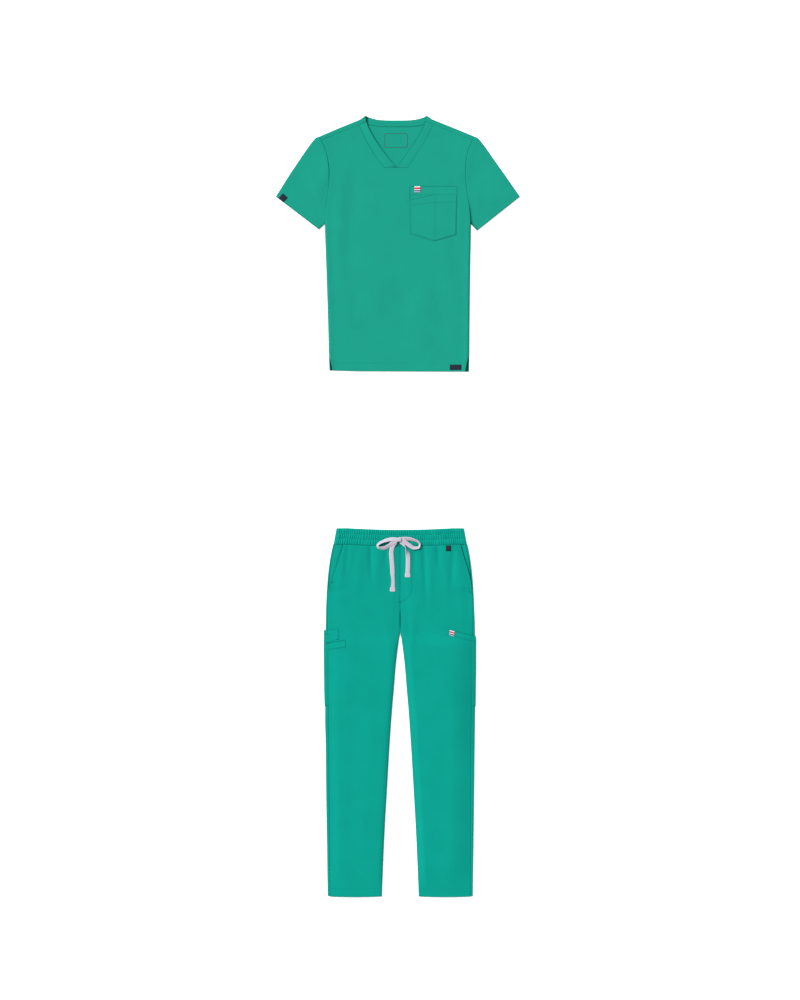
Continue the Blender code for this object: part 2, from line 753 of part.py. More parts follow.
def make_top_labels():
    over = (CLOTH + LABEL_WALL) / 2 + GAP + PATCH_CLEARANCE

    def on_pocket(x, drop):
        return top_point(x, drop, float(top_height(x, drop)) + LAYER + PATCH_CLEARANCE + over)

    def on_front(x, drop):
        return top_point(x, drop, float(top_height(x, drop)) + over)

    def on_sleeve(x, drop):
        return top_point(x, drop, UPPER + over)

    tab = upright(CHEST_TAB[0], CHEST_TAB[1], CHEST_TAB[2] + 2 * GAP, CHEST_TAB[3])
    label("chest_tab", tab, WHITE, on_pocket)
    label("hem_label", upright(*HEM_LABEL), NAVY, on_front)
    half = SLEEVE_TAG_SIDE / 2
    turn = SLEEVE_TAG_TURN
    corners = []
    for across, down in ((-half, -half), (half, -half), (half, half), (-half, half)):
        x = SLEEVE_TAG_CENTRE[0] + across * cos(turn) + down * sin(turn)
        drop = SLEEVE_TAG_CENTRE[1] - across * sin(turn) + down * cos(turn)
        corners.append((x, drop))
    label("sleeve_tag", corners, NAVY, on_sleeve)


# --- the trousers ----------------------------------------------------------------------


def trouser_point(x, drop, z):
    """x is from the trousers' middle line."""
    return (TROUSERS_CENTRE_X + x, WAIST_Y - drop, z)


def waist_seam(x):
    """Drop of the seam under the waistband, lower in the middle."""
    sides, middle = BAND_FOOT_DROP
    return middle + (sides - middle) * (np.abs(x) / BAND_FOOT_HALF) ** 2


def front_height(x, drop, side):
    """Middle height of the leg fronts: fullness under the band, less its troughs, plus the lift
    that keeps the slant pocket's mouth open."""
    x, drop = np.asarray(x, float), np.asarray(drop, float)
    fade = 1 - eased((drop - BAND_FOOT_DROP[0]) / PUFF_FADES_BY_DROP)
    puff = LEG_PUFF + (HIP_PUFF - LEG_PUFF) * fade
    left = np.ones(np.broadcast(x, drop).shape)
    for start_x, lean, start, end, width, depth in TROUGHS.rows:
        middle = start_x + lean * (drop - start)
        reach = eased((drop - start + 0.03) / 0.03) * eased((end - drop) / (0.6 * (end - start)))
        left = left * (1 - depth * reach * np.exp(-(((x - middle) / width) ** 2)))
    outer = read(LEG, "outer", drop)
    inner = read(LEG, "inner", drop)
    mouth = eased((MOUTH_BOTTOM_DROP - drop) / 0.018)
    from_edge = read(FRONT_EDGE[side], "x", drop) - np.abs(x)
    lift = MOUTH_LIFT * mouth * (1 - eased((from_edge - 0.014) / MOUTH_LIFT_REACH))
    sides = eased((outer - 0.010 - np.abs(x)) / 0.030) * eased((np.abs(x) - inner) / 0.025)
    at_hem = eased((LEG_HEM_DROP - drop) / 0.20)
    return UPPER + lift + puff * left * sides * (0.35 + 0.65 * at_hem)


LEG_DROPS = (
    [0.047, 0.058, 0.070, 0.0885, 0.1100, 0.1308, 0.1506, 0.1660, 0.1788, 0.2050, 0.2295]
    + [0.2600, 0.2888, 0.3085, 0.3423, 0.3846, 0.4250, 0.4551, 0.5003, 0.5961, 0.7089]
    + [0.8499, 0.9909, 1.0372]
)


def leg_drop(k, x):
    """Drop of the k-th row at x: the first follows the waist seam, the last the hem's bow."""
    drop = LEG_DROPS[k] + 0.0 * np.asarray(x, float)
    if k == 0:
        return waist_seam(x) + 1.5 * GAP
    if k == 1:
        return waist_seam(x) + 0.011
    if k == len(LEG_DROPS) - 1:
        middle = (read(LEG, "outer", LEG_HEM_DROP) + read(LEG, "inner", LEG_HEM_DROP)) / 2
        half = (read(LEG, "outer", LEG_HEM_DROP) - read(LEG, "inner", LEG_HEM_DROP)) / 2
        return drop + LEG_HEM_BOW * (1 - ((np.abs(x) - middle) / half) ** 2)
    return drop


def inner_edge(drop):
    """The inner edge, with half the seam's gap."""
    return read(LEG, "inner", drop) + GAP / 2


def make_leg_front(side, name):
    rows = []
    for k in range(len(LEG_DROPS)):
        across = np.linspace(0, 1, LEG_COLUMNS)
        inner, outer = inner_edge(LEG_DROPS[k]), read(FRONT_EDGE[side], "x", LEG_DROPS[k])
        x = inner + across * (outer - inner)
        drop = leg_drop(k, x)
        z = front_height(side * x, drop, side)
        rows.append([trouser_point(side * a, d, h) for a, d, h in zip(x, drop, z)])
    sheet(name, rows, TEAL)


def wrap_edge(side, drop):
    """Where the back's turned edge meets the front or the pocket facing."""
    front = float(read(FRONT_EDGE[side], "x", drop)) + GAP
    if drop > FACING_END_DROP[side]:
        return front
    return float(read(LEG, "outer", drop)) - HIP_WRAP


def make_leg_back(side, name):
    rows = []
    for k in range(len(LEG_DROPS)):
        base = LEG_DROPS[k]
        inner, outer = float(inner_edge(base)), float(read(LEG, "outer", base))
        end = min(wrap_edge(side, base), outer - FOLD_INSET - GAP)
        run = turned((inner, base), (outer, base), (end, base), LOWER, UPPER, steps=5)
        rows.append([trouser_point(side * x, leg_drop(k, x), z) for x, _, z in run])
    sheet(name, rows, TEAL)


def make_hip_pocket(side, name):
    """The pocket's facing, which shows between the slant mouth and the side."""
    rows = []
    for drop in np.linspace(FACING_TOP_DROP, FACING_END_DROP[side] - GAP, 9):
        narrows_from, narrows_over = FACING_NARROWS
        under = (FACING_UNDER + GAP) * eased((narrows_from - drop) / narrows_over) - GAP
        inner = float(read(FRONT_EDGE[side], "x", drop)) - under
        across = np.linspace(0, 1, 5)
        down = (drop - FACING_TOP_DROP) / (FACING_END_DROP[side] - GAP - FACING_TOP_DROP)
        outer = float(read(LEG, "outer", drop)) - HIP_WRAP - GAP * (1 + 4 * down)
        x = inner + across * (outer - inner)
        z = UPPER + FACING_CROWN * np.sin(pi * across) * (1 - 0.8 * down)
        rows.append([trouser_point(side * a, drop, h) for a, h in zip(x, z)])
    sheet(name, rows, TEAL)


def make_waistband():
    """A flattened tube: the upper layer is gathered on elastic, the lower one rests flat."""
    count = GATHERS * POINTS_PER_GATHER + 1
    u = np.linspace(-1, 1, count)
    phase = 2 * pi * np.arange(count) / POINTS_PER_GATHER
    drift = GATHER_DRIFT * (np.sin(7.3 * u + 0.6) + 0.6 * np.sin(17.1 * u))
    uneven = 0.75 + 0.25 * np.sin(11.9 * u + 1.3)
    rings = []
    for share, puff, wave in BAND_ROWS.rows:
        half = BAND_TOP_HALF + (BAND_FOOT_HALF - BAND_TOP_HALF) * share - FOLD_INSET
        x = u * half
        head = BAND_TOP_SAG * (1 - u * u)
        drop = head + share * (waist_seam(x) - GAP - head)
        ends = eased((1 - np.abs(u)) * half / BAND_END_REACH)
        swing = np.sin(phase + drift + 0.5 * sin(5 * share))
        z = UPPER + ends * (puff + GATHER_HEIGHT * (1 + wave * uneven * swing))
        upper = [trouser_point(a, d, h) for a, d, h in zip(x, drop, z)]
        under = np.linspace(1, -1, 13)[1:-1] * half
        under_u = under / half
        under_head = BAND_TOP_SAG * (1 - under_u**2)
        under_drop = under_head + share * (waist_seam(under) - GAP - under_head)
        lower = [trouser_point(a, d, LOWER) for a, d in zip(under, under_drop)]
        bends = []
        for end_x, end_drop, out in ((x[-1], drop[-1], 1), (x[0], drop[0], -1)):
            bend = []
            for angle in BEND_ANGLES:
                height = UPPER - FOLD_RADIUS * (1 - cos(angle))
                bend.append(trouser_point(end_x + out * FOLD_RADIUS * sin(angle), end_drop, height))
            bends.append(bend)
        rings.append(upper + bends[0] + lower + bends[1][::-1])
    sheet("waistband", rings, TEAL, ring=True)


def side_patch(name, side, table, band_columns=0):
    """A pocket that lies on the leg front, passes over the outseam and down the side fold.
    Rows after the second keep only the columns past the band."""
    rows = []
    for inner, inner_drop, outer_drop, bulge in table.rows:
        outline = float(read(LEG, "outer", outer_drop)) + bulge
        centre = outline - CLOTH / 2 - 1.5 * LAYER
        radius = 1.5 * LAYER
        if band_columns:
            band_end = min(max(inner, SIDE_STRIP_X), centre)
            xs = list(np.linspace(min(inner, SIDE_STRIP_X), band_end, band_columns + 1))
            xs += list(np.linspace(band_end, centre, 3))[1:]
        else:
            xs = list(np.linspace(inner, centre, 7))
        row = []
        for x in xs:
            share = (x - inner) / (outline - inner) if outline > inner else 0
            drop = inner_drop + share * (outer_drop - inner_drop)
            z = float(front_height(side * x, drop, side)) + LAYER + PATCH_CLEARANCE
            row.append(trouser_point(side * x, drop, z))
        top = row[-1][2]
        for angle in (30, 60, 90):
            a = radians(angle)
            fall = (top - LOWER - CLOTH) * (1 - cos(a))
            row.append(trouser_point(side * (centre + radius * sin(a)), outer_drop, top - fall))
        rows.append(row)

    def is_cloth(i, j):
        return i < 1 or not band_columns or j >= band_columns

    sheet(name, rows, TEAL, keep=is_cloth)


def make_trouser_labels():
    over = (CLOTH + LABEL_WALL) / 2 + GAP + PATCH_CLEARANCE

    def on_front(x, drop):
        return trouser_point(x, drop, float(front_height(x, drop, 1)) + over)

    def on_cargo(x, drop):
        z = float(front_height(x, drop, 1)) + LAYER + PATCH_CLEARANCE + over
        return trouser_point(x, drop, z)

    label("waist_tag", upright(*WAIST_TAG), NAVY, on_front)
    label("cargo_tab", CARGO_TAB.rows, WHITE, on_cargo)


def smooth_route(table, steps):
    """The table's columns along a smooth curve through its rows, by the length run."""
    places = np.array(table.rows)[:, :3]
    run = np.concatenate(([0], np.cumsum(np.linalg.norm(np.diff(places, axis=0), axis=1))))
    by_run = Table(("run", *table.columns), [(at, *row) for at, row in zip(run, table.rows)])
    count = (len(run) - 1) * steps + 1
    at = np.interp(np.linspace(0, len(run) - 1, count), np.arange(len(run)), run)
    return np.stack([read(by_run, column, at) for column in table.columns], axis=1)


def tape(name, table, steps=3):
    """A flat tape along a route; its width tilts about the route."""
    route = smooth_route(table, steps)
    plan = route[:, :2] * (1, -1)
    ahead = np.gradient(plan, axis=0)
    ahead = ahead / np.linalg.norm(ahead, axis=1)[:, None]
    rows = []
    for (x, drop, z, tilt, width), along in zip(route, ahead):
        level = np.array([-along[1], along[0]])
        row = []
        for share in (-0.5, 0.0, 0.5):
            out = share * TAPE_WIDTH * width
            dx, dy = level * out * cos(radians(tilt))
            crown = TAPE_CROWN * (1 - 4 * share * share)
            place = trouser_point(x + dx, drop, z + crown + out * sin(radians(tilt)))
            row.append((place[0], place[1] + dy, place[2]))
        rows.append(row)
    return sheet(name, rows, LILAC, wall=TAPE_THICKNESS)


def make_drawstring():
    tape("drawstring_loop_right", LOOP_RIGHT)
    tape("drawstring_loop_left", LOOP_LEFT)
    tape("drawstring_tail_right", TAIL_RIGHT)
    tape("drawstring_tail_left", TAIL_LEFT)
    mesh = bmesh.new()
    bmesh.ops.create_uvsphere(mesh, u_segments=16, v_segments=8, radius=0.5)
    centre = trouser_point(*KNOT_CENTRE, KNOT_FLOOR + KNOT_SIZE[2] / 2)
    for corner in mesh.verts:
        for axis in range(3):
            corner.co[axis] = centre[axis] + corner.co[axis] * KNOT_SIZE[axis]
    data = bpy.data.meshes.new("drawstring_knot")
    mesh.to_mesh(data)
    mesh.free()
    piece("drawstring_knot", data, LILAC)


for old in list(bpy.data.objects):
    bpy.data.objects.remove(old, do_unlink=True)
parts = bpy.data.collections.new("medical_scrubs")
bpy.context.scene.collection.children.link(parts)

make_top_back()
make_top_front()
make_neck_bands()
make_sleeves()
make_chest_pocket()
make_top_labels()
make_waistband()
for leg_side, word in ((-1, "right"), (1, "left")):
    make_leg_back(leg_side, f"leg_{word}_back")
    make_leg_front(leg_side, f"leg_{word}_front")
    make_hip_pocket(leg_side, f"hip_pocket_{word}")
    side_patch(f"cargo_pocket_{word}", leg_side, CARGO[leg_side], CARGO_BAND_COLUMNS)
side_patch("pen_pocket", -1, PEN_POCKET)
make_trouser_labels()
make_drawstring()
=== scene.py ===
from math import pi, radians

import bmesh
import bpy
import numpy as np
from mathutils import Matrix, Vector


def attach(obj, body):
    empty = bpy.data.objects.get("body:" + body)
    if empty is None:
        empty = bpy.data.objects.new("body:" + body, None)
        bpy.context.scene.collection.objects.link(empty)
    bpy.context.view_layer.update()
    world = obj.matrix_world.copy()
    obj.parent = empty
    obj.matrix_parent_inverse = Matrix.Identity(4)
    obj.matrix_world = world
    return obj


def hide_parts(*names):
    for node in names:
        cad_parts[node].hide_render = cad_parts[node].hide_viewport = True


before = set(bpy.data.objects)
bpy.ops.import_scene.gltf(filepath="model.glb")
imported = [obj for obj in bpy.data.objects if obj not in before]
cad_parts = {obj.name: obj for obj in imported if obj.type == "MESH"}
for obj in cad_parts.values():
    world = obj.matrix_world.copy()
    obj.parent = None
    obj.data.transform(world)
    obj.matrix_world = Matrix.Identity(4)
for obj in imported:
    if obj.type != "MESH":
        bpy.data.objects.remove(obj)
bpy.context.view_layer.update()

# A medical scrub set laid flat: a short-sleeved V-neck top above drawstring trousers.
# Metres, +Z up, +Y towards the neck, +X to the wearer's left. Drops are distances down from
# the top's neck point or from the trousers' waist edge.

# ---- Camera ---------------------------------------------------------------------------------
# It looks straight down from above the middle of the laid set, with parallel rays, and takes in
# 2.82 m from top to bottom.
camera_data = bpy.data.cameras.new("camera")
camera_data.type = "ORTHO"
camera_data.ortho_scale = 2.820
camera_data.clip_end = 20.0
camera = bpy.data.objects.new("camera", camera_data)
camera.location = (0.0051, 0.0197, 5.0)
bpy.context.scene.collection.objects.link(camera)
bpy.context.scene.camera = camera

# ---- Drawstring -----------------------------------------------------------------------------
# A flat woven tape, lilac grey with paler selvedges, tied in a bow in front of the waistband.
# Each tail ends in a folded, stitched end. The tape is about 12 mm wide and 1 mm thick.
WAIST_Y = -0.0609
TROUSERS_X = 0.0056
TAPE_WIDTH = 0.0118
TAPE_THICK = 0.0010
# rows of points between two rows of a route's table
TAPE_RUN = 14
WELD = 1e-5

# x from the trousers' middle, drop, height, tilt of the width from level, share of the width
LOOP_RIGHT = (
    (-0.0100, 0.0300, 0.0114, 8, 0.80),
    (-0.0200, 0.0298, 0.0112, 18, 0.90),
    (-0.0330, 0.0314, 0.0106, 28, 0.92),
    (-0.0460, 0.0354, 0.0104, 38, 0.86),
    (-0.0575, 0.0408, 0.0103, 44, 0.76),
    (-0.0640, 0.0478, 0.0102, 46, 0.68),
    (-0.0600, 0.0552, 0.0098, 42, 0.76),
    (-0.0470, 0.0552, 0.0094, 30, 0.90),
    (-0.0330, 0.0492, 0.0096, 20, 0.96),
    (-0.0205, 0.0406, 0.0104, 6, 1.00),
    (-0.0110, 0.0356, 0.0116, 4, 0.85),
)
LOOP_LEFT = (
    (0.0000, 0.0296, 0.0114, 6, 0.80),
    (0.0110, 0.0288, 0.0114, 14, 0.90),
    (0.0240, 0.0290, 0.0107, 26, 0.92),
    (0.0370, 0.0320, 0.0105, 38, 0.84),
    (0.0490, 0.0368, 0.0104, 46, 0.70),
    (0.0552, 0.0446, 0.0103, 48, 0.60),
    (0.0505, 0.0540, 0.0100, 44, 0.72),
    (0.0392, 0.0546, 0.0096, 32, 0.88),
    (0.0270, 0.0478, 0.0100, 20, 0.96),
    (0.0160, 0.0400, 0.0106, 8, 0.95),
    (0.0060, 0.0350, 0.0116, 4, 0.80),
)
TAIL_RIGHT = (
    (-0.0110, 0.0380, 0.0094, 0, 0.80),
    (-0.0180, 0.0452, 0.0088, 0, 0.90),
    (-0.0232, 0.0560, 0.0078, 0, 1.00),
    (-0.0250, 0.0700, 0.0072, 0, 1.00),
    (-0.0238, 0.0900, 0.0070, 0, 1.00),
    (-0.0221, 0.1110, 0.0068, 0, 1.00),
    (-0.0217, 0.1393, 0.0062, 0, 1.00),
    (-0.0212, 0.1600, 0.0059, 0, 1.00),
    (-0.0215, 0.1710, 0.0058, 0, 1.00),
)
TAIL_LEFT = (
    (0.0010, 0.0370, 0.0094, -6, 0.80),
    (0.0100, 0.0440, 0.0096, -24, 0.85),
    (0.0158, 0.0520, 0.0110, -74, 0.85),
    (0.0186, 0.0620, 0.0106, -56, 0.95),
    (0.0214, 0.0740, 0.0086, -14, 1.00),
    (0.0221, 0.0900, 0.0074, 0, 1.00),
    (0.0216, 0.1100, 0.0068, 0, 1.00),
    (0.0210, 0.1215, 0.0065, 0, 1.00),
    (0.0208, 0.1307, 0.0064, 0, 1.00),
)


def along(rows, at):
    """Every column of a table at the given first-column values, on a cubic curve that keeps
    between its rows: each slope is the mean of its neighbours', and zero where they turn."""
    rows = np.asarray(rows, float)
    x, y = rows[:, 0], rows[:, 1:]
    step = np.diff(x)
    slope = np.diff(y, axis=0) / step[:, None]
    tangent = np.concatenate((slope[:1], (slope[:-1] + slope[1:]) / 2, slope[-1:]))
    tangent[1:-1][slope[:-1] * slope[1:] <= 0] = 0.0
    first = np.concatenate((slope, slope[-1:]))
    second = np.concatenate((slope[:1], slope))
    limit = 3 * np.minimum(np.abs(first), np.abs(second))
    tangent = np.clip(tangent, -limit, limit)
    at = np.clip(np.asarray(at, float), x[0], x[-1])
    i = np.clip(np.searchsorted(x, at, side="right") - 1, 0, len(x) - 2)
    t = ((at - x[i]) / step[i])[..., None]
    h = step[i][..., None]
    start = (1 + 2 * t) * (1 - t) ** 2 * y[i] + t * (1 - t) ** 2 * h * tangent[i]
    return start + t * t * (3 - 2 * t) * y[i + 1] - t * t * (1 - t) * h * tangent[i + 1]


def bell(away, reach, power=2):
    """A bell curve, 1 at no distance: e to minus the distance over its reach, to a power."""
    return np.exp(-((away / reach) ** power))


def grid_object(name, points, keep=None, ring=False, wall=None, uv=None, shade=None):
    """Quads over a grid of points, rows by columns; ring joins the last column to the first,
    keep picks the cells, uv gives each point's place on the cloth, shade how much painted shade
    darkens each point from 0 to 1, and wall thickens it."""
    rows, columns = points.shape[:2]
    cells = columns if ring else columns - 1
    i, j = np.meshgrid(np.arange(rows - 1), np.arange(cells), indexing="ij")
    if keep is not None:
        i, j = i[keep], j[keep]
    here, above = i.ravel() * columns, (i.ravel() + 1) * columns
    j = j.ravel()
    after = (j + 1) % columns
    quads = np.stack((here + j, here + after, above + after, above + j), axis=1)
    used, quads_used = np.unique(quads, return_inverse=True)
    mesh = bpy.data.meshes.new(name)
    mesh.from_pydata(points.reshape(-1, 3)[used], [], quads_used.reshape(-1, 4))
    if uv is not None:
        layer = mesh.uv_layers.new(name="cloth")
        layer.data.foreach_set("uv", uv.reshape(-1, 2)[quads.ravel()].ravel())
    if shade is not None:
        layer = mesh.attributes.new("shade", "FLOAT", "POINT")
        layer.data.foreach_set("value", np.ravel(shade)[used].astype(np.float32))
    mesh.shade_smooth()
    made = bpy.data.objects.new(name, mesh)
    bpy.context.scene.collection.objects.link(made)
    if wall:
        solid = made.modifiers.new("wall", "SOLIDIFY")
        solid.thickness = wall
        solid.offset = 0.0
    return made


def closed(mesh, weld=None):
    """Faces of a closed mesh turned outwards, after welding points closer than a distance."""
    shell = bmesh.new()
    shell.from_mesh(mesh)
    if weld:
        bmesh.ops.remove_doubles(shell, verts=shell.verts, dist=weld)
    bmesh.ops.recalc_face_normals(shell, faces=shell.faces)
    shell.to_mesh(mesh)
    shell.free()


def nodes_of(material):
    """The material's nodes, links and its Principled shader."""
    material.use_nodes = True
    tree = material.node_tree
    return tree.nodes, tree.links, tree.nodes["Principled BSDF"]


def added(nodes, kind, **values):
    """A new node of one kind with some of its inputs set."""
    made = nodes.new("ShaderNode" + kind)
    for name, value in values.items():
        made.inputs[name].default_value = value
    return made


def surface(shader, roughness, specular, colour=None):
    """The shader's roughness and highlight, and its colour where it has only one."""
    shader.inputs["Roughness"].default_value = roughness
    shader.inputs["Specular IOR Level"].default_value = specular
    if colour:
        shader.inputs["Base Color"].default_value = (*colour, 1.0)


def tape_material():
    """Lilac grey weave: the colour follows the distance from the tape's middle, paler and pinker
    in the selvedges and a little greyer in two lengthwise channels; the bump is a fine chevron."""
    material = bpy.data.materials.new("woven_tape")
    nodes, links, shader = nodes_of(material)
    place = added(nodes, "UVMap")
    place.uv_map = "cloth"
    parts = added(nodes, "SeparateXYZ")
    links.new(place.outputs["UV"], parts.inputs["Vector"])
    across = added(nodes, "Math")
    across.operation = "ABSOLUTE"
    links.new(parts.outputs["X"], across.inputs[0])
    ramp = added(nodes, "ValToRGB")
    ramp.color_ramp.interpolation = "EASE"
    stops = (
        (0.00, (0.475, 0.460, 0.525)),
        (0.26, (0.475, 0.460, 0.525)),
        (0.40, (0.390, 0.398, 0.465)),
        (0.54, (0.460, 0.440, 0.510)),
        (0.70, (0.520, 0.440, 0.520)),
        (0.84, (0.660, 0.510, 0.620)),
        (1.00, (0.680, 0.530, 0.640)),
    )
    elements = ramp.color_ramp.elements
    elements[0].position, elements[1].position = stops[0][0], stops[-1][0]
    elements[0].color = (*stops[0][1], 1.0)
    elements[1].color = (*stops[-1][1], 1.0)
    for position, colour in stops[1:-1]:
        elements.new(position).color = (*colour, 1.0)
    links.new(across.outputs[0], ramp.inputs["Fac"])
    links.new(ramp.outputs["Color"], shader.inputs["Base Color"])
    stretch = added(nodes, "Mapping", Scale=(3.0, 1.0, 1.0))
    links.new(place.outputs["UV"], stretch.inputs["Vector"])
    weave = added(nodes, "TexWave", Scale=3.0, Distortion=1.5)
    weave.wave_type = "BANDS"
    weave.bands_direction = "DIAGONAL"
    links.new(stretch.outputs["Vector"], weave.inputs["Vector"])
    bump = added(nodes, "Bump", Strength=0.25, Distance=0.0003)
    links.new(weave.outputs["Fac"], bump.inputs["Height"])
    links.new(bump.outputs["Normal"], shader.inputs["Normal"])
    surface(shader, 0.9, 0.2)
    return material


TAPE = tape_material()


def trouser_place(x, drop, z):
    """A place on the trousers, x from their middle line."""
    x, drop, z = np.broadcast_arrays(x, drop, z)
    return np.stack((TROUSERS_X + x, WAIST_Y - drop, z), axis=-1)


def run_of(line):
    """Length along a line from its start to each of its points."""
    return np.concatenate(([0], np.cumsum(np.linalg.norm(np.diff(line, axis=0), axis=1))))


def tape(name, table, node, width_points=9):
    """A flat tape carried along a route: its cross-section, a low arch, is turned by the tilt
    about the route and scaled by the width's share. Returns the piece and its middle line."""
    rows = np.array(table)
    run = run_of(rows[:, :3])
    parts = len(run) - 1
    at = np.interp(np.linspace(0, parts, parts * TAPE_RUN + 1), np.arange(len(run)), run)
    x, drop, z, tilt, width = along(np.column_stack((run, rows)), at).T
    ahead = np.gradient(np.stack((x, -drop), axis=1), axis=0)
    ahead = ahead / np.linalg.norm(ahead, axis=1)[:, None]
    share = np.linspace(-1, 1, width_points)
    out = share * (TAPE_WIDTH / 2) * width[:, None]
    turn = np.radians(tilt)[:, None]
    level = out * np.cos(turn)
    arch = 0.00035 * (1 - share**2)
    px = x[:, None] - ahead[:, 1:2] * level
    py = -drop[:, None] + ahead[:, 0:1] * level
    pz = z[:, None] + arch * np.cos(turn) + out * np.sin(turn)
    points = np.stack((TROUSERS_X + px, WAIST_Y + py, pz), axis=-1)
    uv = np.stack(np.broadcast_arrays(share[None, :], at[:, None] / TAPE_WIDTH * 2), axis=-1)
    made = grid_object(name, points, wall=TAPE_THICK, uv=uv)
    made.data.materials.append(TAPE)
    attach(made, "root")
    if node:
        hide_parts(node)
    middle = trouser_place(x, drop, z)
    return made, middle


def folded_end(name, middle, width=0.0144, length=0.0122, height=0.0026):
    """The tape's end, folded over and stitched: a flat block whose half width at a share of its
    length is the tenth root of one less that share's tenth power, so that its edges are round."""
    tip, before = middle[-1], middle[-6]
    ahead = (tip - before)[:2] / np.linalg.norm((tip - before)[:2])
    u, v = np.meshgrid(np.linspace(0, 2 * pi, 25)[:-1], np.linspace(-1, 1, 21))
    ring = np.clip(1 - v**10, 0, 1) ** 0.1
    near = np.sign(np.cos(u)) * np.abs(np.cos(u)) ** 0.35 * ring * width / 2
    waist = 1 - 0.10 * bell(v - 0.30, 0.22)
    up = np.sign(np.sin(u)) * np.abs(np.sin(u)) ** 0.5 * ring * height / 2 * waist
    run = v * length / 2
    centre = tip[:2] + ahead * 0.0010
    px = centre[0] + ahead[0] * run - ahead[1] * near
    py = centre[1] + ahead[1] * run + ahead[0] * near
    points = np.stack((px, py, tip[2] + up), axis=-1)
    uv = np.stack((near / (width / 2), run / TAPE_WIDTH * 2), axis=-1)
    made = grid_object(name, points, ring=True, uv=uv)
    closed(made.data, weld=WELD)
    made.data.materials.append(TAPE)
    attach(made, "root")
    return made


# the knot's middle (x, drop, height) and its half length, half width and half thickness
KNOT_AT = (-0.0044, 0.0310, 0.0138)
KNOT_HALF = (0.0088, 0.0070, 0.0026)
knot_u, knot_v = np.meshgrid(np.linspace(0, 2 * pi, 49)[:-1], np.linspace(-1, 1, 33))
knot_ring = np.sqrt(np.clip(1 - np.abs(knot_v) ** 2.6, 0, 1))
knot_pinch = 1 - 0.16 * bell(knot_v, 0.35)
knot_x = knot_v * KNOT_HALF[0]
knot_across = np.cos(knot_u) * knot_ring * KNOT_HALF[1] * knot_pinch * (1 + 0.10 * knot_v)
knot_up = np.sin(knot_u) * knot_ring * KNOT_HALF[2]
knot_up = knot_up + 0.00025 * np.sin(5 * pi * knot_across / 0.0148) * (knot_up > 0)
knot_skew = -0.0012 * knot_v
knot_drop = KNOT_AT[1] - knot_across + knot_skew + 0.0014 * knot_v**2
knot_points = trouser_place(KNOT_AT[0] + knot_x, knot_drop, KNOT_AT[2] + knot_up)
knot_uv = np.stack((knot_across / 0.0074, knot_x / TAPE_WIDTH * 2), axis=-1)
knot = grid_object("drawstring_band_knot", knot_points, ring=True, uv=knot_uv)
closed(knot.data, weld=WELD)
knot.data.materials.append(TAPE)
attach(knot, "root")
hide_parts("drawstring_knot")

for side, table, lays in (("right", LOOP_RIGHT, [knot]), ("left", LOOP_LEFT, [])):
    loop, loop_line = tape(f"drawstring_bow_{side}", table, f"drawstring_loop_{side}")
for side, table in (("right", TAIL_RIGHT), ("left", TAIL_LEFT)):
    tail, tail_line = tape(f"drawstring_end_{side}", table, f"drawstring_tail_{side}")
    tip = folded_end(f"drawstring_tip_{side}", tail_line)

# ---- Top: back panel ------------------------------------------------------------------------
# One piece of jade twill with a fine crosswise stretch. It lies flat underneath, passes over both
# shoulders and ends in front at the forward shoulder seams. Sewn to the sleeves and the front.
NECK_Y = 1.1001
# thickness of the cloth, middle heights of the lower and upper layers, radius of a turned edge
CLOTH = 0.0012
LOWER = 0.0006
UPPER = 0.0021
FOLD_RADIUS = 0.00075
JADE = (0.0100, 0.276, 0.199)
HEM_DROP = 0.7171
# drops where the vents start and where they first show, and how far each draws the front in
VENT_TOP = 0.6621
VENT_OPEN = 0.6640
VENT_NARROW = 0.0093
# the back neck's line: x of its middle, and the power of its curve
NECK_MIDDLE = -0.0055
NECK_POWER = 3.6
# drop and half width, from the shoulder's end down the armhole and side
BODY = (
    (0.0575, 0.2190),
    (0.0666, 0.2132),
    (0.0933, 0.2019),
    (0.1244, 0.1951),
    (0.1554, 0.1929),
    (0.1920, 0.1943),
    (0.2287, 0.1991),
    (0.2654, 0.2036),
    (0.3020, 0.2056),
    (0.4092, 0.2030),
    (0.5445, 0.1999),
    (0.6621, 0.1978),
    (0.7171, 0.1971),
)
# drops at the armhole of the shoulder's fold, of the forward seam and of the flare's end
SHOULDER_DROP = 0.0556
SEAM_DROP = 0.0666
FLARE_DROP = 0.0933
# x and drop of three points on each shoulder's fold, from the neck out, and of its seam's neck end
HIGH_NECK = {-1: (-0.0918, -0.0040), 1: (0.0808, -0.0036)}
SHOULDER_DIP = {-1: (-0.1075, 0.0074), 1: (0.0962, 0.0070)}
SHOULDER_MID = {-1: (-0.1740, 0.0344), 1: (0.1644, 0.0344)}
SEAM_NECK_END = {-1: (-0.0894, 0.0149), 1: (0.0773, 0.0124)}
# the length that the panels' rows are spaced for
PANEL_LONG = 0.650


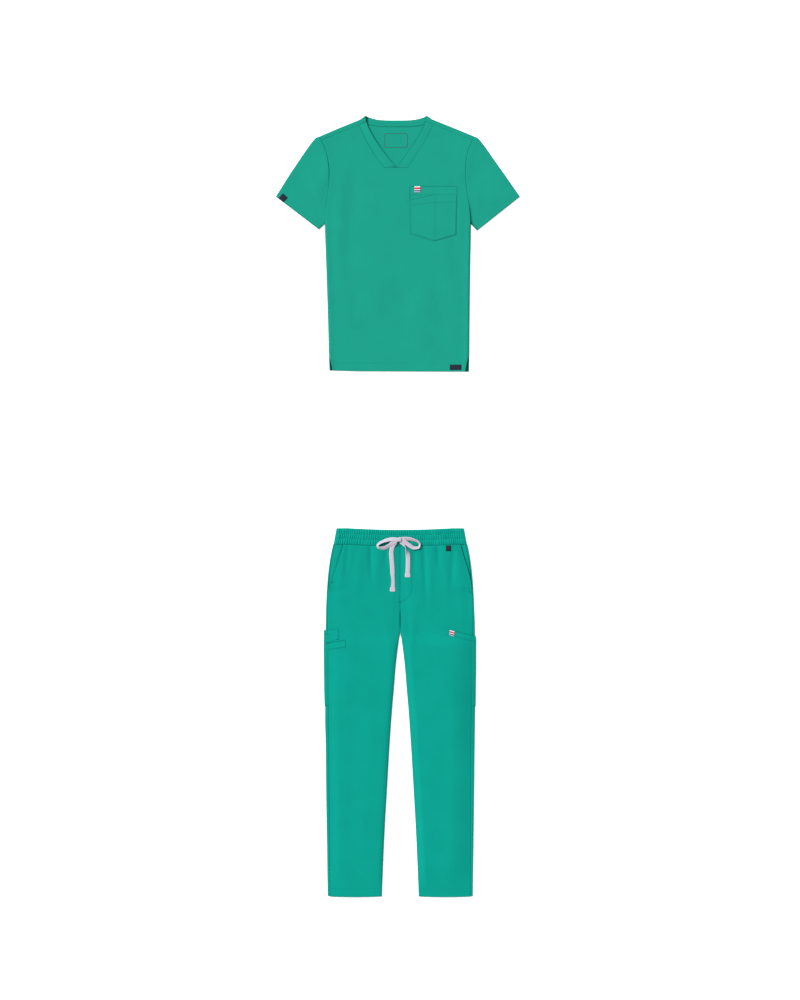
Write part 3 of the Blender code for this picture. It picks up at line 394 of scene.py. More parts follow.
def scrub_cloth(name, colour, fold_shade=0.08):
    """Matt twill: the colour wanders a little with two sizes of noise, the bump is a fine
    diagonal rib under a soft mottle, and the shade attribute darkens it with painted shade."""
    material = bpy.data.materials.new(name)
    nodes, links, shader = nodes_of(material)
    place = added(nodes, "TexCoord")
    broad = added(nodes, "TexNoise", Scale=14.0, Detail=3.0)
    links.new(place.outputs["Object"], broad.inputs["Vector"])
    fine = added(nodes, "TexNoise", Scale=420.0, Detail=3.0, Roughness=0.7)
    links.new(place.outputs["Object"], fine.inputs["Vector"])
    both = added(nodes, "Mix", Factor=0.60)
    links.new(broad.outputs["Fac"], both.inputs[2])
    links.new(fine.outputs["Fac"], both.inputs[3])
    tint = added(nodes, "ValToRGB")
    low, high = tint.color_ramp.elements
    low.position, high.position = 0.30, 0.70
    low.color = (*(c * 0.93 for c in colour), 1.0)
    high.color = (*(min(1.0, c * 1.07) for c in colour), 1.0)
    links.new(both.outputs[0], tint.inputs["Fac"])
    # painted shade: the shade attribute multiplies the colour towards a deep teal
    deep = added(nodes, "Mix")
    deep.data_type = "RGBA"
    deep.blend_type = "MULTIPLY"
    deep.inputs[7].default_value = (fold_shade, fold_shade * 1.9, fold_shade * 1.9, 1.0)
    shade = added(nodes, "Attribute")
    shade.attribute_name = "shade"
    links.new(shade.outputs["Fac"], deep.inputs[0])
    links.new(tint.outputs["Color"], deep.inputs[6])
    links.new(deep.outputs[2], shader.inputs["Base Color"])
    twill = added(nodes, "TexWave", Scale=420.0, Distortion=0.8, Detail=1.0)
    twill.bands_direction = "DIAGONAL"
    links.new(place.outputs["Object"], twill.inputs["Vector"])
    rib = added(nodes, "Bump", Strength=0.18, Distance=0.0002)
    links.new(twill.outputs["Fac"], rib.inputs["Height"])
    mottle = added(nodes, "Bump", Strength=0.25, Distance=0.0006)
    links.new(fine.outputs["Fac"], mottle.inputs["Height"])
    links.new(rib.outputs["Normal"], mottle.inputs["Normal"])
    links.new(mottle.outputs["Normal"], shader.inputs["Normal"])
    surface(shader, 0.92, 0.04)
    return material


TOP_CLOTH = scrub_cloth("jade_twill", JADE)


def sewn(name, points, material, node, slot, wall=CLOTH, **form):
    """One cut piece of cloth in place of its node."""
    made = grid_object(name, points, wall=wall, **form)
    made.data.materials.append(material)
    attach(made, "root")
    if node:
        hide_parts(node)
    return made


def eased(share):
    """Smooth step: 3 s squared less 2 s cubed, with s held between 0 and 1."""
    share = np.clip(share, 0.0, 1.0)
    return share * share * (3 - 2 * share)


def top_middle(drop):
    """The top's middle line, which leans a little."""
    return -0.0042 + 0.0098 * drop


def half_width(drop):
    """Half the body's width."""
    return along(BODY, drop)[..., 0]


def top_place(x, drop, z):
    """A place on the top."""
    x, drop, z = np.broadcast_arrays(x, drop, z)
    return np.stack((x, NECK_Y - drop, z), axis=-1)


def side_place(side, drop):
    """x and drop on the armhole or side edge."""
    return np.array((float(top_middle(drop) + side * half_width(drop)), drop))


def spread(length, step, fine, near):
    """Places from 0 to a length: a fine step apart within near of both ends, coarser between."""
    ends = np.arange(0, near - fine / 4, fine)
    between = max(2, round((length - 2 * near) / step))
    return np.concatenate((ends, np.linspace(near, length - near, between), length - ends[::-1]))


def edge_shares(edge):
    """Each edge point's share of the half width below the shoulder's flare, -1 to 1."""
    x, drop = edge.T
    return np.clip((x - top_middle(drop)) / half_width(np.maximum(drop, FLARE_DROP)), -1, 1)


def panel_x(u, drop):
    """x at a share of the half width."""
    inner = half_width(np.maximum(drop, FLARE_DROP))
    return top_middle(drop) + u * inner + np.sign(u) * np.abs(u) ** 6 * (half_width(drop) - inner)


def vent_width(drop):
    """How much the front draws in at its vents, from their top down to the hem."""
    return VENT_NARROW * eased((drop - VENT_TOP) / (HEM_DROP - VENT_TOP))


def panel(edge, hem, rows, step=0.003, fine=0.0008, near=0.006, vents=False):
    """A body panel as a grid from its hem up to an edge line. A column keeps its share of the
    half width, a row its share of the way up; near the top the columns lean in to the edge.
    The shoulder's flare moves the outer columns by the sixth power of their share."""
    edge = np.asarray(edge)
    shares = edge_shares(edge)
    width = half_width(0.3)
    u = spread(2 * width, step, fine, near) / width - 1
    clear = np.min(np.abs(u[:, None] - shares), axis=1) > 0.004
    u = np.sort(np.concatenate((u[clear], shares)))
    top_drop, top_x = np.interp(u, shares, edge[:, 1]), np.interp(u, shares, edge[:, 0])
    hem_drop = hem(u)
    drop = hem_drop + rows[:, None] * (top_drop - hem_drop)
    x = panel_x(u, drop) - u * vent_width(drop) * vents
    x = x + (top_x - panel_x(u, top_drop)) * rows[:, None] ** 6
    return u, x, drop


neck_t = np.linspace(-1, 1, 25)
back_seam_x = NECK_MIDDLE + 0.0829 * neck_t
back_seam_drop = 0.0279 - 0.0072 * np.abs(neck_t) ** NECK_POWER
back_edge = np.concatenate(
    (
        [side_place(-1, SHOULDER_DROP), SHOULDER_MID[-1], SHOULDER_DIP[-1], HIGH_NECK[-1]],
        np.column_stack((back_seam_x, back_seam_drop)),
        [HIGH_NECK[1], SHOULDER_DIP[1], SHOULDER_MID[1], side_place(1, SHOULDER_DROP)],
    )
)


def back_hem(u):
    """The back's hem, a little lower on the wearer's left."""
    return 0.7179 + 0.0007 * u - 0.0019 * eased((-u - 0.55) / 0.45)


back_rows = spread(PANEL_LONG, 0.007, 0.002, 0.010) / PANEL_LONG
back_u, back_x, back_drop = panel(back_edge, back_hem, back_rows, step=0.005, fine=0.0012, near=0.0150)
back_sag = 0.00025 * np.sin(9 * back_u + 3.0) * np.sin(pi * back_rows[:, None])
back_flat = top_place(back_x, back_drop, LOWER + back_sag * (back_drop < 0.12))


def raised(places, z):
    """Level places with a height added as their third measure."""
    return np.concatenate((places, np.broadcast_to(z, (*places.shape[:-1], 1))), axis=-1)


def over_shoulder(flat, u):
    """The turned part of each column: from the fold's inside, round a half circle, to the
    forward seam. Its direction turns from square to the shoulder to along the armhole."""
    side = np.where(u < 0, -1, 1)
    fold = flat[-1, :, :2]
    neck = np.array([HIGH_NECK[s] for s in side])
    outer = np.array([side_place(s, SHOULDER_DROP) for s in side])
    seam_neck = np.array([SEAM_NECK_END[s] for s in side])
    seam_outer = np.array([side_place(s, SEAM_DROP) for s in side])
    way = (outer - neck) * (1, -1)
    share = np.clip((fold[:, 0] - neck[:, 0]) / way[:, 0], 0, 1)[:, None]
    seam = seam_neck + (seam_outer - seam_neck) * share
    square = np.column_stack((-way[:, 1], way[:, 0])) * side[:, None]
    square = square / np.linalg.norm(way, axis=1)[:, None]
    armhole = (outer - seam_outer) * (1, -1)
    armhole = armhole / np.linalg.norm(armhole, axis=1)[:, None]
    out = square + (armhole - square) * share**4
    out = out / np.linalg.norm(out, axis=1)[:, None]
    centre = fold - out * (FOLD_RADIUS + CLOTH / 2)
    turn = np.linspace(0, pi, 11)[:, None, None]
    bend = centre + out * FOLD_RADIUS * np.sin(turn)
    bend_z = LOWER + FOLD_RADIUS * (1 - np.cos(turn))
    end = np.column_stack((seam[:, 0], NECK_Y - seam[:, 1]))
    run = np.linspace(0, 1, 12)[1:, None, None]
    rest = bend[-1] + (end - bend[-1]) * run
    puff = 0.0004 * np.sin(pi * run) + 0.00035 * (1 - run)
    puff = puff - 0.0002 * np.clip((run - 0.8) / 0.2, 0, 1) ** 2
    return np.concatenate((raised(bend, bend_z), raised(rest, UPPER + puff)))


back_turned = over_shoulder(back_flat, back_u)
back_points = np.concatenate((back_flat[:-1], back_turned))
back_shares = edge_shares(back_edge)
at_shoulder = (back_u < back_shares[3] + 1e-6) | (back_u > back_shares[-4] - 1e-6)
back_points[len(back_flat) - 1 :, ~at_shoulder] = back_flat[-1, ~at_shoulder]
back_keep = np.ones((back_points.shape[0] - 1, len(back_u) - 1), bool)
back_keep[len(back_flat) - 1 :] = at_shoulder[:-1] & at_shoulder[1:]
slit = vent_width(back_drop)
from_slit = (1 - np.abs(back_u)) * half_width(back_drop) - slit
back_shade = np.zeros(back_points.shape[:2])
# painted shadow between the layers in each vent, beside the front's drawn-in edge
open_by = 0.30 * slit
vent_shadow = bell(from_slit + open_by, 0.0014 + open_by, 4) * eased((back_drop - VENT_OPEN) / 0.006)
back_shade[: len(back_flat)] = 0.97 * vent_shadow
# painted shade on the shoulders' turned edges, deeper on the wearer's left, away from the light
rim = np.concatenate((np.full(11, 1.0), np.linspace(0.35, 0, 4), np.zeros(7)))[:, None]
back_shade[len(back_flat) - 1 :] = rim * np.where(back_u > 0, 0.40, 0.12)
back_form = dict(keep=back_keep, shade=back_shade)
top_back = sewn("top_back_panel", back_points, TOP_CLOTH, "top_back", "top_cloth", **back_form)

# ---- Top: back neck band --------------------------------------------------------------------
# A narrow facing of the same twill, folded double and sewn to the back's neck edge. A row of
# stitching runs on each side of the seam.
band_t = np.linspace(-1, 1, 91)
band_top_x = NECK_MIDDLE + 0.0862 * band_t
band_top_drop = 0.0132 * (1 - np.abs(band_t) ** NECK_POWER) - 0.0030
band_foot_x = NECK_MIDDLE + 0.0828 * band_t
band_foot_drop = 0.0278 - 0.0072 * np.abs(band_t) ** NECK_POWER
band_v = np.linspace(0, 1, 29)[:, None]
band_x = band_foot_x + (band_top_x - band_foot_x) * band_v
band_drop = band_foot_drop + (band_top_drop - band_foot_drop) * band_v
band_line = bell(band_foot_drop - band_drop - 0.0074, 0.0010)
band_z = LOWER + 0.00010 + 0.0008 * (1 - (2 * band_v - 1) ** 6) - 0.0004 * band_line + 0 * band_x
# painted shade along the band's crease line and its top and foot edges, and painted shadow at its ends
# where the neck bands stand over it, widest at the wearer's right end
band_shade = 0.16 * band_line + 0.30 * bell(1 - band_v, 0.10) + 0.10 * bell(band_v, 0.06)
wedge_shadow = 0.0036 + 0.0036 * band_v
band_shade = band_shade + bell(band_x - band_x[:, :1], wedge_shadow, 4)
band_shade = np.minimum(band_shade + 0.55 * bell(band_x - band_x[:, -1:], 0.0030), 1.0)
back_band = sewn(
    "top_back_neck_band",
    top_place(band_x, band_drop, band_z),
    TOP_CLOTH,
    "neck_band_back",
    "top_cloth",
    shade=band_shade,
)

# ---- Sewing thread --------------------------------------------------------------------------
# Lockstitch in polyester thread, a shade deeper than the cloth, about 3 stitches a centimetre
# of what shows, each one sunk to half its thickness.


def sewing_thread(name, colour):
    """Matt thread in one colour."""
    material = bpy.data.materials.new(name)
    _, _, shader = nodes_of(material)
    surface(shader, 0.8, 0.06, colour)
    return material


JADE_SEWING = sewing_thread("jade_thread", (0.008, 0.185, 0.136))


def stitched(name, paths, material, slot, pitch=0.0034, length=0.0025, thick=0.0006):
    """A row of stitches along each path: every one is a spindle of four rings of four points,
    narrow at its ends, lying along the path's direction."""
    places, ways = [], []
    for path in paths:
        run = run_of(path)
        at = np.arange(pitch / 2, run[-1], pitch)
        head, foot = [
            np.stack([np.interp(at + d, run, measure) for measure in path.T], axis=1)
            for d in (-length / 2, length / 2)
        ]
        places.append((head + foot) / 2)
        ways.append(foot - head)
    place, way = np.concatenate(places), np.concatenate(ways)
    way = way / np.linalg.norm(way, axis=1)[:, None]
    flat = np.cross((0.0, 0.0, 1.0), way)
    flat = flat / np.linalg.norm(flat, axis=1)[:, None]
    up = np.cross(way, flat)
    run = np.repeat(np.array((-0.5, -0.3, 0.3, 0.5)) * length, 4)
    wide = np.repeat((0.3, 1.0, 1.0, 0.3), 4) * thick / 2
    turn = np.tile(np.arange(4) * pi / 2 + pi / 4, 4)
    points = place[:, None] + way[:, None] * run[None, :, None]
    points = points + flat[:, None] * (wide * np.cos(turn) * 1.3)[None, :, None]
    points = points + up[:, None] * (wide * np.sin(turn))[None, :, None]
    around = np.arange(4)
    after = (around + 1) % 4
    cells = np.stack((after, after + 4, around + 4, around), axis=1)
    faces = np.concatenate((cells, cells + 4, cells + 8, [[3, 2, 1, 0], [12, 13, 14, 15]]))
    faces = (faces[None] + 16 * np.arange(len(place))[:, None, None]).reshape(-1, 4)
    mesh = bpy.data.meshes.new(name)
    mesh.from_pydata(points.reshape(-1, 3), [], faces)
    closed(mesh)
    mesh.shade_smooth()
    mesh.materials.append(material)
    made = bpy.data.objects.new(name, mesh)
    bpy.context.scene.collection.objects.link(made)
    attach(made, "root")
    return made


neck_x, neck_drop = band_foot_x[3:-3], band_foot_drop[3:-3]
neck_rows = [
    top_place(neck_x, neck_drop - 0.0010, LOWER + 0.0014),
    top_place(neck_x * 0.985, neck_drop + 0.0014, LOWER + CLOTH / 2 + 0.0001),
]
stitched(
    "top_back_neck_stitching", neck_rows, JADE_SEWING, "top_cloth", pitch=0.0042, thick=0.0004
)

# ---- Top: front panel -----------------------------------------------------------------------
# The front lies on the back. It is cut to a V that the neck bands finish, and its hem is turned
# up 21 mm and stitched. Short vents open at both ends of the hem.
SEAM_GAP = 0.0001
HEM_UP = 0.0213
SIDE_TOP = 0.290
# the neck bands: x at the shoulder seam, outer corner at the foot, and the point of the V
BAND_SHOULDER_X = {-1: -0.1105, 1: 0.0985}
BAND_FOOT = {-1: (-0.0392, 0.1427), 1: (0.0276, 0.1427)}
V_POINT = (-0.0048, 0.1424)
# share of the way up, bow of the neck band's inner and outer edge
BAND_BOW = {
    -1: (
        (0.00, 0.0000, 0.0000),
        (0.15, 0.0033, 0.0026),
        (0.35, 0.0056, 0.0050),
        (0.60, 0.0068, 0.0051),
        (0.80, 0.0055, 0.0029),
        (0.92, 0.0030, 0.0014),
        (1.00, 0.0000, 0.0000),
    ),
    1: (
        (0.00, 0.0000, 0.0000),
        (0.15, 0.0014, 0.0010),
        (0.35, 0.0038, 0.0021),
        (0.60, 0.0049, 0.0041),
        (0.80, 0.0040, 0.0027),
        (0.92, 0.0021, 0.0011),
        (1.00, 0.0000, 0.0000),
    ),
}
# x, drop, reach along, reach across, tilt from upright in degrees, height of each soft fold
TOP_FOLDS = (
    (-0.165, 0.300, 0.140, 0.018, 2, 0.0016),
    (-0.128, 0.250, 0.110, 0.020, 6, -0.0012),
    (-0.075, 0.470, 0.150, 0.030, -8, 0.0011),
    (-0.020, 0.300, 0.090, 0.034, 14, 0.0009),
    (-0.150, 0.520, 0.110, 0.022, -3, 0.0010),
    (0.010, 0.560, 0.120, 0.034, 6, -0.0009),
    (0.070, 0.520, 0.120, 0.030, 7, 0.0012),
    (0.140, 0.430, 0.140, 0.022, -5, 0.0013),
    (0.150, 0.620, 0.080, 0.026, 3, 0.0008),
    (-0.120, 0.120, 0.060, 0.030, 28, 0.0009),
    (0.110, 0.110, 0.055, 0.028, -24, 0.0009),
    (0.176, 0.260, 0.120, 0.014, 0, 0.0010),
)


def soft_folds(x, drop, folds):
    """The sum of the soft folds: each is a height on a bell curve along and across its line."""
    height = np.zeros(np.broadcast(x, drop).shape)
    for mid_x, mid_drop, reach, wide, tilt, rise in folds:
        turn = radians(tilt)
        aside = (x - mid_x) * np.cos(turn) + (drop - mid_drop) * np.sin(turn)
        down = (drop - mid_drop) * np.cos(turn) - (x - mid_x) * np.sin(turn)
        height = height + rise * bell(aside, wide) * bell(down, reach)
    return height


def from_line(x, drop, line):
    """Distance of each place from a line of straight pieces."""
    nearest = np.full(np.broadcast(x, drop).shape, 1.0)
    for (ax, ad), (bx, bd) in zip(line[:-1], line[1:]):
        wx, wd = bx - ax, bd - ad
        share = np.clip(((x - ax) * wx + (drop - ad) * wd) / (wx * wx + wd * wd), 0, 1)
        nearest = np.minimum(nearest, np.hypot(x - ax - share * wx, drop - ad - share * wd))
    return nearest


def rolled(distance, reach, depth):
    """How far an edge turns down: a depth that fades with the square of the way in."""
    return depth * np.clip(1 - distance / reach, 0, 1) ** 2


def band_shoulder(side):
    """Where the neck band's outer edge meets the forward shoulder seam."""
    neck, out = np.array(SEAM_NECK_END[side]), side_place(side, SEAM_DROP)
    share = (BAND_SHOULDER_X[side] - neck[0]) / (out[0] - neck[0])
    return neck + (out - neck) * share


def band_edge(side, outer, up):
    """x and drop along a V-neck band's outer or inner edge, from its foot to the shoulder."""
    foot = BAND_FOOT[side] if outer else (V_POINT[0] + side * SEAM_GAP / 2, V_POINT[1])
    head = band_shoulder(side) if outer else np.array(SEAM_NECK_END[side])
    way = head + (0.0, SEAM_GAP) - foot
    outward = np.array((side * abs(way[1]), abs(way[0]))) / np.linalg.norm(way)
    bow = along(BAND_BOW[side], up)[..., 1 if outer else 0]
    return foot + way * np.asarray(up)[:, None] + outward * bow[:, None]


front_line = []
for side, order in ((-1, 1), (1, -1)):
    line = band_edge(side, True, np.linspace(1, 0, 33)) + (side * SEAM_GAP, 0.0)
    line[-1] += (0.0, SEAM_GAP)
    line = np.concatenate(([side_place(side, SEAM_DROP) + (0.0, SEAM_GAP)], line))
    front_line.extend(line[::order].tolist())


def front_hem(u):
    """The front's hem, level with the back's."""
    return 0.7177 + 0.0007 * u - 0.0018 * eased((-u - 0.55) / 0.45)


def front_z(x, drop):
    """Middle height of the front: the folds, puffed side edges and hem, less the rolled seams."""
    u = (x - top_middle(drop)) / half_width(drop)
    from_side = (1 - np.abs(u)) * half_width(drop)
    inside = eased(from_side / 0.030)
    height = soft_folds(x, drop, TOP_FOLDS) * inside * eased((drop - 0.05) / 0.05)
    height = height * eased((HEM_DROP - drop) / 0.09) + 0.0006 * inside
    at_side = eased((drop - SIDE_TOP) / 0.02)
    ridge = (0.0007 + 0.0010 * at_side) * bell(from_side - 0.004, 0.011)
    slit = 0.0020 * eased((drop - VENT_OPEN) / 0.03) * bell(from_side, 0.012)
    up = front_hem(u) - drop
    hem = 0.00035 * (1 - eased((up - HEM_UP + 0.001) / 0.003)) - 0.00030 * bell(up - HEM_UP, 0.0016)
    seams = rolled(from_line(x, drop, front_line), 0.0026, 0.0002)
    edge = rolled(from_side, 0.0026 + 0.0024 * at_side, 0.0005 + 0.0015 * at_side)
    return UPPER + height + ridge + slit + hem - seams - edge


at_hem, at_top = np.arange(0, 0.026, 0.0010), PANEL_LONG - np.arange(0, 0.006, 0.0008)[::-1]
between = np.linspace(0.026, PANEL_LONG - 0.006, 190)
front_rows = np.concatenate((at_hem, between, at_top)) / PANEL_LONG
front_u, front_x, front_drop = panel(front_line, front_hem, front_rows, vents=True)
front_points = top_place(front_x, front_drop, front_z(front_x, front_drop))
front_side = (1 - np.abs(front_u)) * half_width(front_drop)
# painted shade along the wearer's left side edge below the armhole, which faces away from the light
front_shade = 0.14 * bell(front_side, 0.0024) + 0.18 * bell(front_side, 0.0050, 4)
front_shade = front_shade * (front_u > 0) * eased((front_drop - SIDE_TOP) / 0.02)
top_front = sewn("top_front_panel", front_points, TOP_CLOTH, "top_front", "top_cloth", shade=front_shade)


def on_front(x, drop, above=CLOTH / 2):
    """Places on the front's face."""
    return top_place(x, drop, front_z(np.asarray(x), np.asarray(drop)) + above)


hem_u = np.linspace(-0.955, 0.955, 200)
hem_line_drop = front_hem(hem_u) - HEM_UP
hem_half = half_width(hem_line_drop) - vent_width(hem_line_drop)
top_rows = [on_front(top_middle(hem_line_drop) + hem_u * hem_half, hem_line_drop)]
for side in (-1, 1):
    vent = np.linspace(VENT_OPEN, 0.694, 12)
    vent_half = half_width(vent) - vent_width(vent) - 0.0062
    top_rows.append(on_front(top_middle(vent) + side * vent_half, vent))
    tack = half_width(VENT_TOP) - 0.001 + np.linspace(-0.006, 0.0005, 6)
    top_rows.append(on_front(top_middle(VENT_TOP) + side * tack, np.full(6, VENT_TOP + 0.0004)))
    line = band_edge(side, True, np.linspace(0.01, 0.97, 60))
    top_rows.append(on_front(line[:, 0] + side * 0.0009, line[:, 1] + 0.0002))
neck_foot = np.linspace(BAND_FOOT[-1][0], BAND_FOOT[1][0], 30)
top_rows.append(on_front(neck_foot, np.full(30, BAND_FOOT[1][1] + 0.0010)))
stitched("top_front_stitching", top_rows, JADE_SEWING, "top_cloth")

# ---- Top: V-neck bands ----------------------------------------------------------------------
# Two double bands of the same twill finish the V, sewn to the front along their outer edges and
# to the back at the shoulders. The wearer's right one laps over, so its inner edge lies higher.
NECK_BAND_LONG = 0.150
for side, name, lift in ((-1, "right", 0.0044), (1, "left", 0.0008)):
    rise = np.linspace(0, 1, 90)
    share = spread(1.0, 0.06, 0.02, 0.10)[:, None]
    outer, inner = band_edge(side, True, rise), band_edge(side, False, rise)
    line = outer + (inner - outer) * share[..., None]
    wide = np.linalg.norm(inner - outer, axis=1)
    from_foot, to_head = rise * NECK_BAND_LONG, (1 - rise) * NECK_BAND_LONG
    lifted = lift * eased(share) ** 2 * (0.55 + 0.45 * eased(rise)) * eased(from_foot / 0.008)
    z = UPPER + 0.0006 * np.sin(pi * share) + lifted
    z = z - rolled(share * wide, 0.0026, 0.0003) - rolled((1 - share) * wide, 0.0018, 0.0004)
    z = z - rolled(from_foot, 0.0025, 0.0003) - rolled(to_head, 0.0030, 0.0003)
    # painted shadow along the inner edge of the wearer's left band
    shade = 0.50 * bell((1 - share) * wide, 0.0017) * (side > 0)
    places = top_place(line[..., 0], line[..., 1], z)
    piece, node = f"top_neck_band_{name}", f"neck_band_{name}"
    made = sewn(piece, places, TOP_CLOTH, node, "top_cloth", shade=shade)

# ---- Top: sleeves ---------------------------------------------------------------------------
# Each set-in sleeve is one piece of twill folded along its top and closed under the arm, with
# its cuff turned up 11 mm and stitched.
UNDERARM_DROP = 0.3020
# x and drop of the cuff's two ends, at the underarm and at the fold
CUFF = {-1: ((-0.2234, 0.3177), (-0.3453, 0.2249)), 1: ((0.2223, 0.3208), (0.3433, 0.2247))}
# share of the way from the armhole, how far the folded edge bows outwards
SLEEVE_BOW = {
    -1: (
        (0.00, 0.0000),
        (0.03, 0.0047),
        (0.08, 0.0070),
        (0.18, 0.0077),
        (0.32, 0.0073),
        (0.50, 0.0060),
        (0.70, 0.0042),
        (0.88, 0.0017),
        (1.00, 0.0000),
    ),
    1: (
        (0.00, 0.0000),
        (0.03, 0.0040),
        (0.08, 0.0058),
        (0.18, 0.0061),
        (0.32, 0.0050),
        (0.50, 0.0037),
        (0.70, 0.0024),
        (0.88, 0.0009),
        (1.00, 0.0000),
    ),
}
CUFF_HEM = 0.0115
# share up the armhole, share of the way to the cuff, reach along both, height of each soft fold
SLEEVE_FOLDS = {
    -1: (
        (0.50, 0.36, 0.22, 0.20, 0.0010),
        (0.30, 0.70, 0.25, 0.16, 0.0009),
        (0.75, 0.55, 0.20, 0.22, -0.0006),
    ),
    1: (
        (0.45, 0.40, 0.24, 0.20, 0.0008),
        (0.62, 0.72, 0.22, 0.18, 0.0010),
        (0.80, 0.30, 0.20, 0.20, -0.0006),
    ),
}


def sleeve_line(side):
    """Shares of the armhole's length from the underarm up, closer at both ends, and their places."""
    drops = np.append(np.linspace(UNDERARM_DROP, SEAM_DROP, 120), SHOULDER_DROP)
    corners = np.stack([side_place(side, d) for d in drops])
    run = run_of(corners)
    share = spread(1.0, 0.018, 0.004, 0.02)
    return share, np.stack([np.interp(share * run[-1], run, c) for c in corners.T], axis=1)


for side, name in ((-1, "right"), (1, "left")):
    share, start = sleeve_line(side)
    cuff = np.array(CUFF[side])
    end = cuff[0] + (cuff[1] - cuff[0]) * share[:, None]
    way = end - start
    reach = np.linalg.norm(way, axis=1)
    down = np.concatenate((np.linspace(0, 0.065, 14), spread(1.0, 0.022, 0.006, 0.07)[12:]))
    seam = np.gradient(start, axis=0)
    square = np.abs(way[:, 0] * seam[:, 1] - way[:, 1] * seam[:, 0]) / np.linalg.norm(seam, axis=1)
    shift = (SEAM_GAP / square)[None, :, None]
    line = start + way * (shift + down[:, None, None] * (1 - shift))
    outward = np.array((way[-1, 1], -side * way[-1, 0])) * (side, 1) / reach[-1]
    line = line + outward * along(SLEEVE_BOW[side], down)[:, None] * share[:, None] ** 3
    across = np.gradient(line, axis=1)
    across = across / np.linalg.norm(across, axis=2)[..., None]
    s, t = np.meshgrid(share, down)
    folds = SLEEVE_FOLDS[side]
    height = sum(rise * bell(s - ms, ws) * bell(t - mt, wt) for ms, mt, ws, wt, rise in folds)
    from_seam = t * square[None, :]
    from_cuff = (1 - t) * reach[None, :]
    length = np.linalg.norm(np.diff(line, axis=1), axis=2).sum(axis=1)[:, None]
    from_fold, from_under = (1 - s) * length, s * length
    height = height * eased(from_fold / 0.03) * eased(from_under / 0.03) + 0.0005
    above = eased((s - 0.42) / 0.12) if side < 0 else 1.0
    swell = 0.0002 + 0.0007 * above + (0.0013 if side < 0 else 0.0) * bell(s - 0.62, 0.13)
    height = height + swell * bell(from_seam, 0.017) - rolled(from_seam, 0.0026, 0.0003) * above
    height = height + 0.00035 * (1 - eased((from_cuff - CUFF_HEM + 0.001) / 0.003))
    height = height - 0.00035 * bell(from_cuff - CUFF_HEM, 0.0015)
    height = height - rolled(from_fold, 0.0070, 0.0005) - rolled(from_under, 0.0070, 0.0005)
    height = height - rolled(from_cuff, 0.0025, 0.0005)
    turn = np.linspace(0, pi, 9)[:, None]
    inset = FOLD_RADIUS + CLOTH / 2
    body = slice(1, -1)
    lower = raised(line[:, body], LOWER)
    upper = raised(line[:, body], (UPPER + height)[:, body, None])
    bends = []
    for k, sign in ((-1, 1), (0, -1)):
        outwards = sign * across[:, k][:, None]
        bend = line[:, k][:, None] - outwards * (inset - FOLD_RADIUS * np.sin(turn))
        bends.append(raised(bend, LOWER + FOLD_RADIUS * (1 - np.cos(turn))))
    ring = np.concatenate((lower, bends[0], upper[:, ::-1], bends[1][:, ::-1]), axis=1)
    ring[..., 1] = NECK_Y - ring[..., 1]
    # painted shade: deep by the underarm seam of the wearer's left sleeve, and on the turned edges at the
    # fold, underarm and cuff, darker on the wearer's left
    near_end = 0.0035 + 0.0020 * eased((0.12 - s) / 0.10)
    underarm_shade = 0.88 * bell(from_seam, near_end) * eased((0.33 - s) / 0.22) * (side > 0)
    rim_under = (0.75 if side > 0 else 0.50) * bell(from_under, 0.0036)
    shade_upper = np.minimum(underarm_shade + rim_under + 0.34 * bell(from_cuff, 0.0022), 1.0)
    shade_upper = shade_upper[:, body]
    fold_rim = np.full((len(down), len(turn)), 0.40 if side > 0 else 0.12)
    under_rim = np.full((len(down), len(turn)), 0.65)
    shade = np.concatenate((0 * shade_upper, fold_rim, shade_upper[:, ::-1], under_rim), axis=1)
    form = dict(shade=shade, ring=True)
    made = sewn(f"top_sleeve_{name}", ring, TOP_CLOTH, f"sleeve_{name}", "top_cloth", **form)
    row = 1 - CUFF_HEM / reach
    x, drop = (start + way * row[:, None])[3:-3].T
    z = UPPER + np.array([np.interp(r, down, height[:, k]) for k, r in enumerate(row)]) + CLOTH / 2
    cuff_row = top_place(x, drop, z[3:-3])
    stitched(f"top_cuff_{name}_stitching", [cuff_row], JADE_SEWING, "top_cloth")

# ---- Top: chest pocket ----------------------------------------------------------------------
# A patch pocket of the same twill, with a 24 mm hem and a pointed foot. A second layer over it
# has its own slanted mouth and is divided by one row of stitching into a pen slot and a pocket.
# x of the pocket's inner and outer edges, each at its mouth and at its foot
POCKET_X = ((0.0316, 0.0338), (0.1672, 0.1641))
POCKET_TOP = 0.1954
# share of the width, drop of the pocket's foot and of the second layer's mouth
POCKET_FOOT = ((0.0, 0.3305), (0.52, 0.3514), (1.0, 0.3330))
OVERLAY_TOP = ((0.0, 0.2341), (0.52, 0.2194), (1.0, 0.2194))
PATCH_WALL = 0.0006
ON_CLOTH = (CLOTH + PATCH_WALL) / 2 + 0.00005
ON_PATCH = PATCH_WALL + 0.00005
POCKET_HEM = 0.0245
POCKET_WIDE = 0.133
# how far the second layer's sides and foot lie within the pocket's: share of the width, metres
OVERLAY_SIDE = 0.011
OVERLAY_FOOT = 0.0016


def foot_of(across):
    """Drop of the pocket's pointed foot at a share of its width."""
    return np.interp(across, *zip(*POCKET_FOOT))


def pocket_place(across, drop):
    """x at a share of the pocket's width."""
    up = (POCKET_FOOT[0][1] - drop) / (POCKET_FOOT[0][1] - POCKET_TOP)
    ends = [low + (high - low) * up for high, low in POCKET_X]
    return ends[0] + across * (ends[1] - ends[0])


def pocket_z(across, drop, foot):
    """Middle height of the pocket: it follows the front and bellies a little, its edges pressed."""
    x = pocket_place(across, drop)
    from_edge = np.minimum(np.minimum(across, 1 - across) * POCKET_WIDE, foot - drop)
    belly = eased((drop - POCKET_TOP) / 0.03) * eased((foot - drop) / 0.05)
    pressed = 0.0001 - 0.0003 * (1 - eased(from_edge / 0.004))
    return front_z(x, drop) + ON_CLOTH + pressed + 0.0010 * np.sin(pi * across) * belly


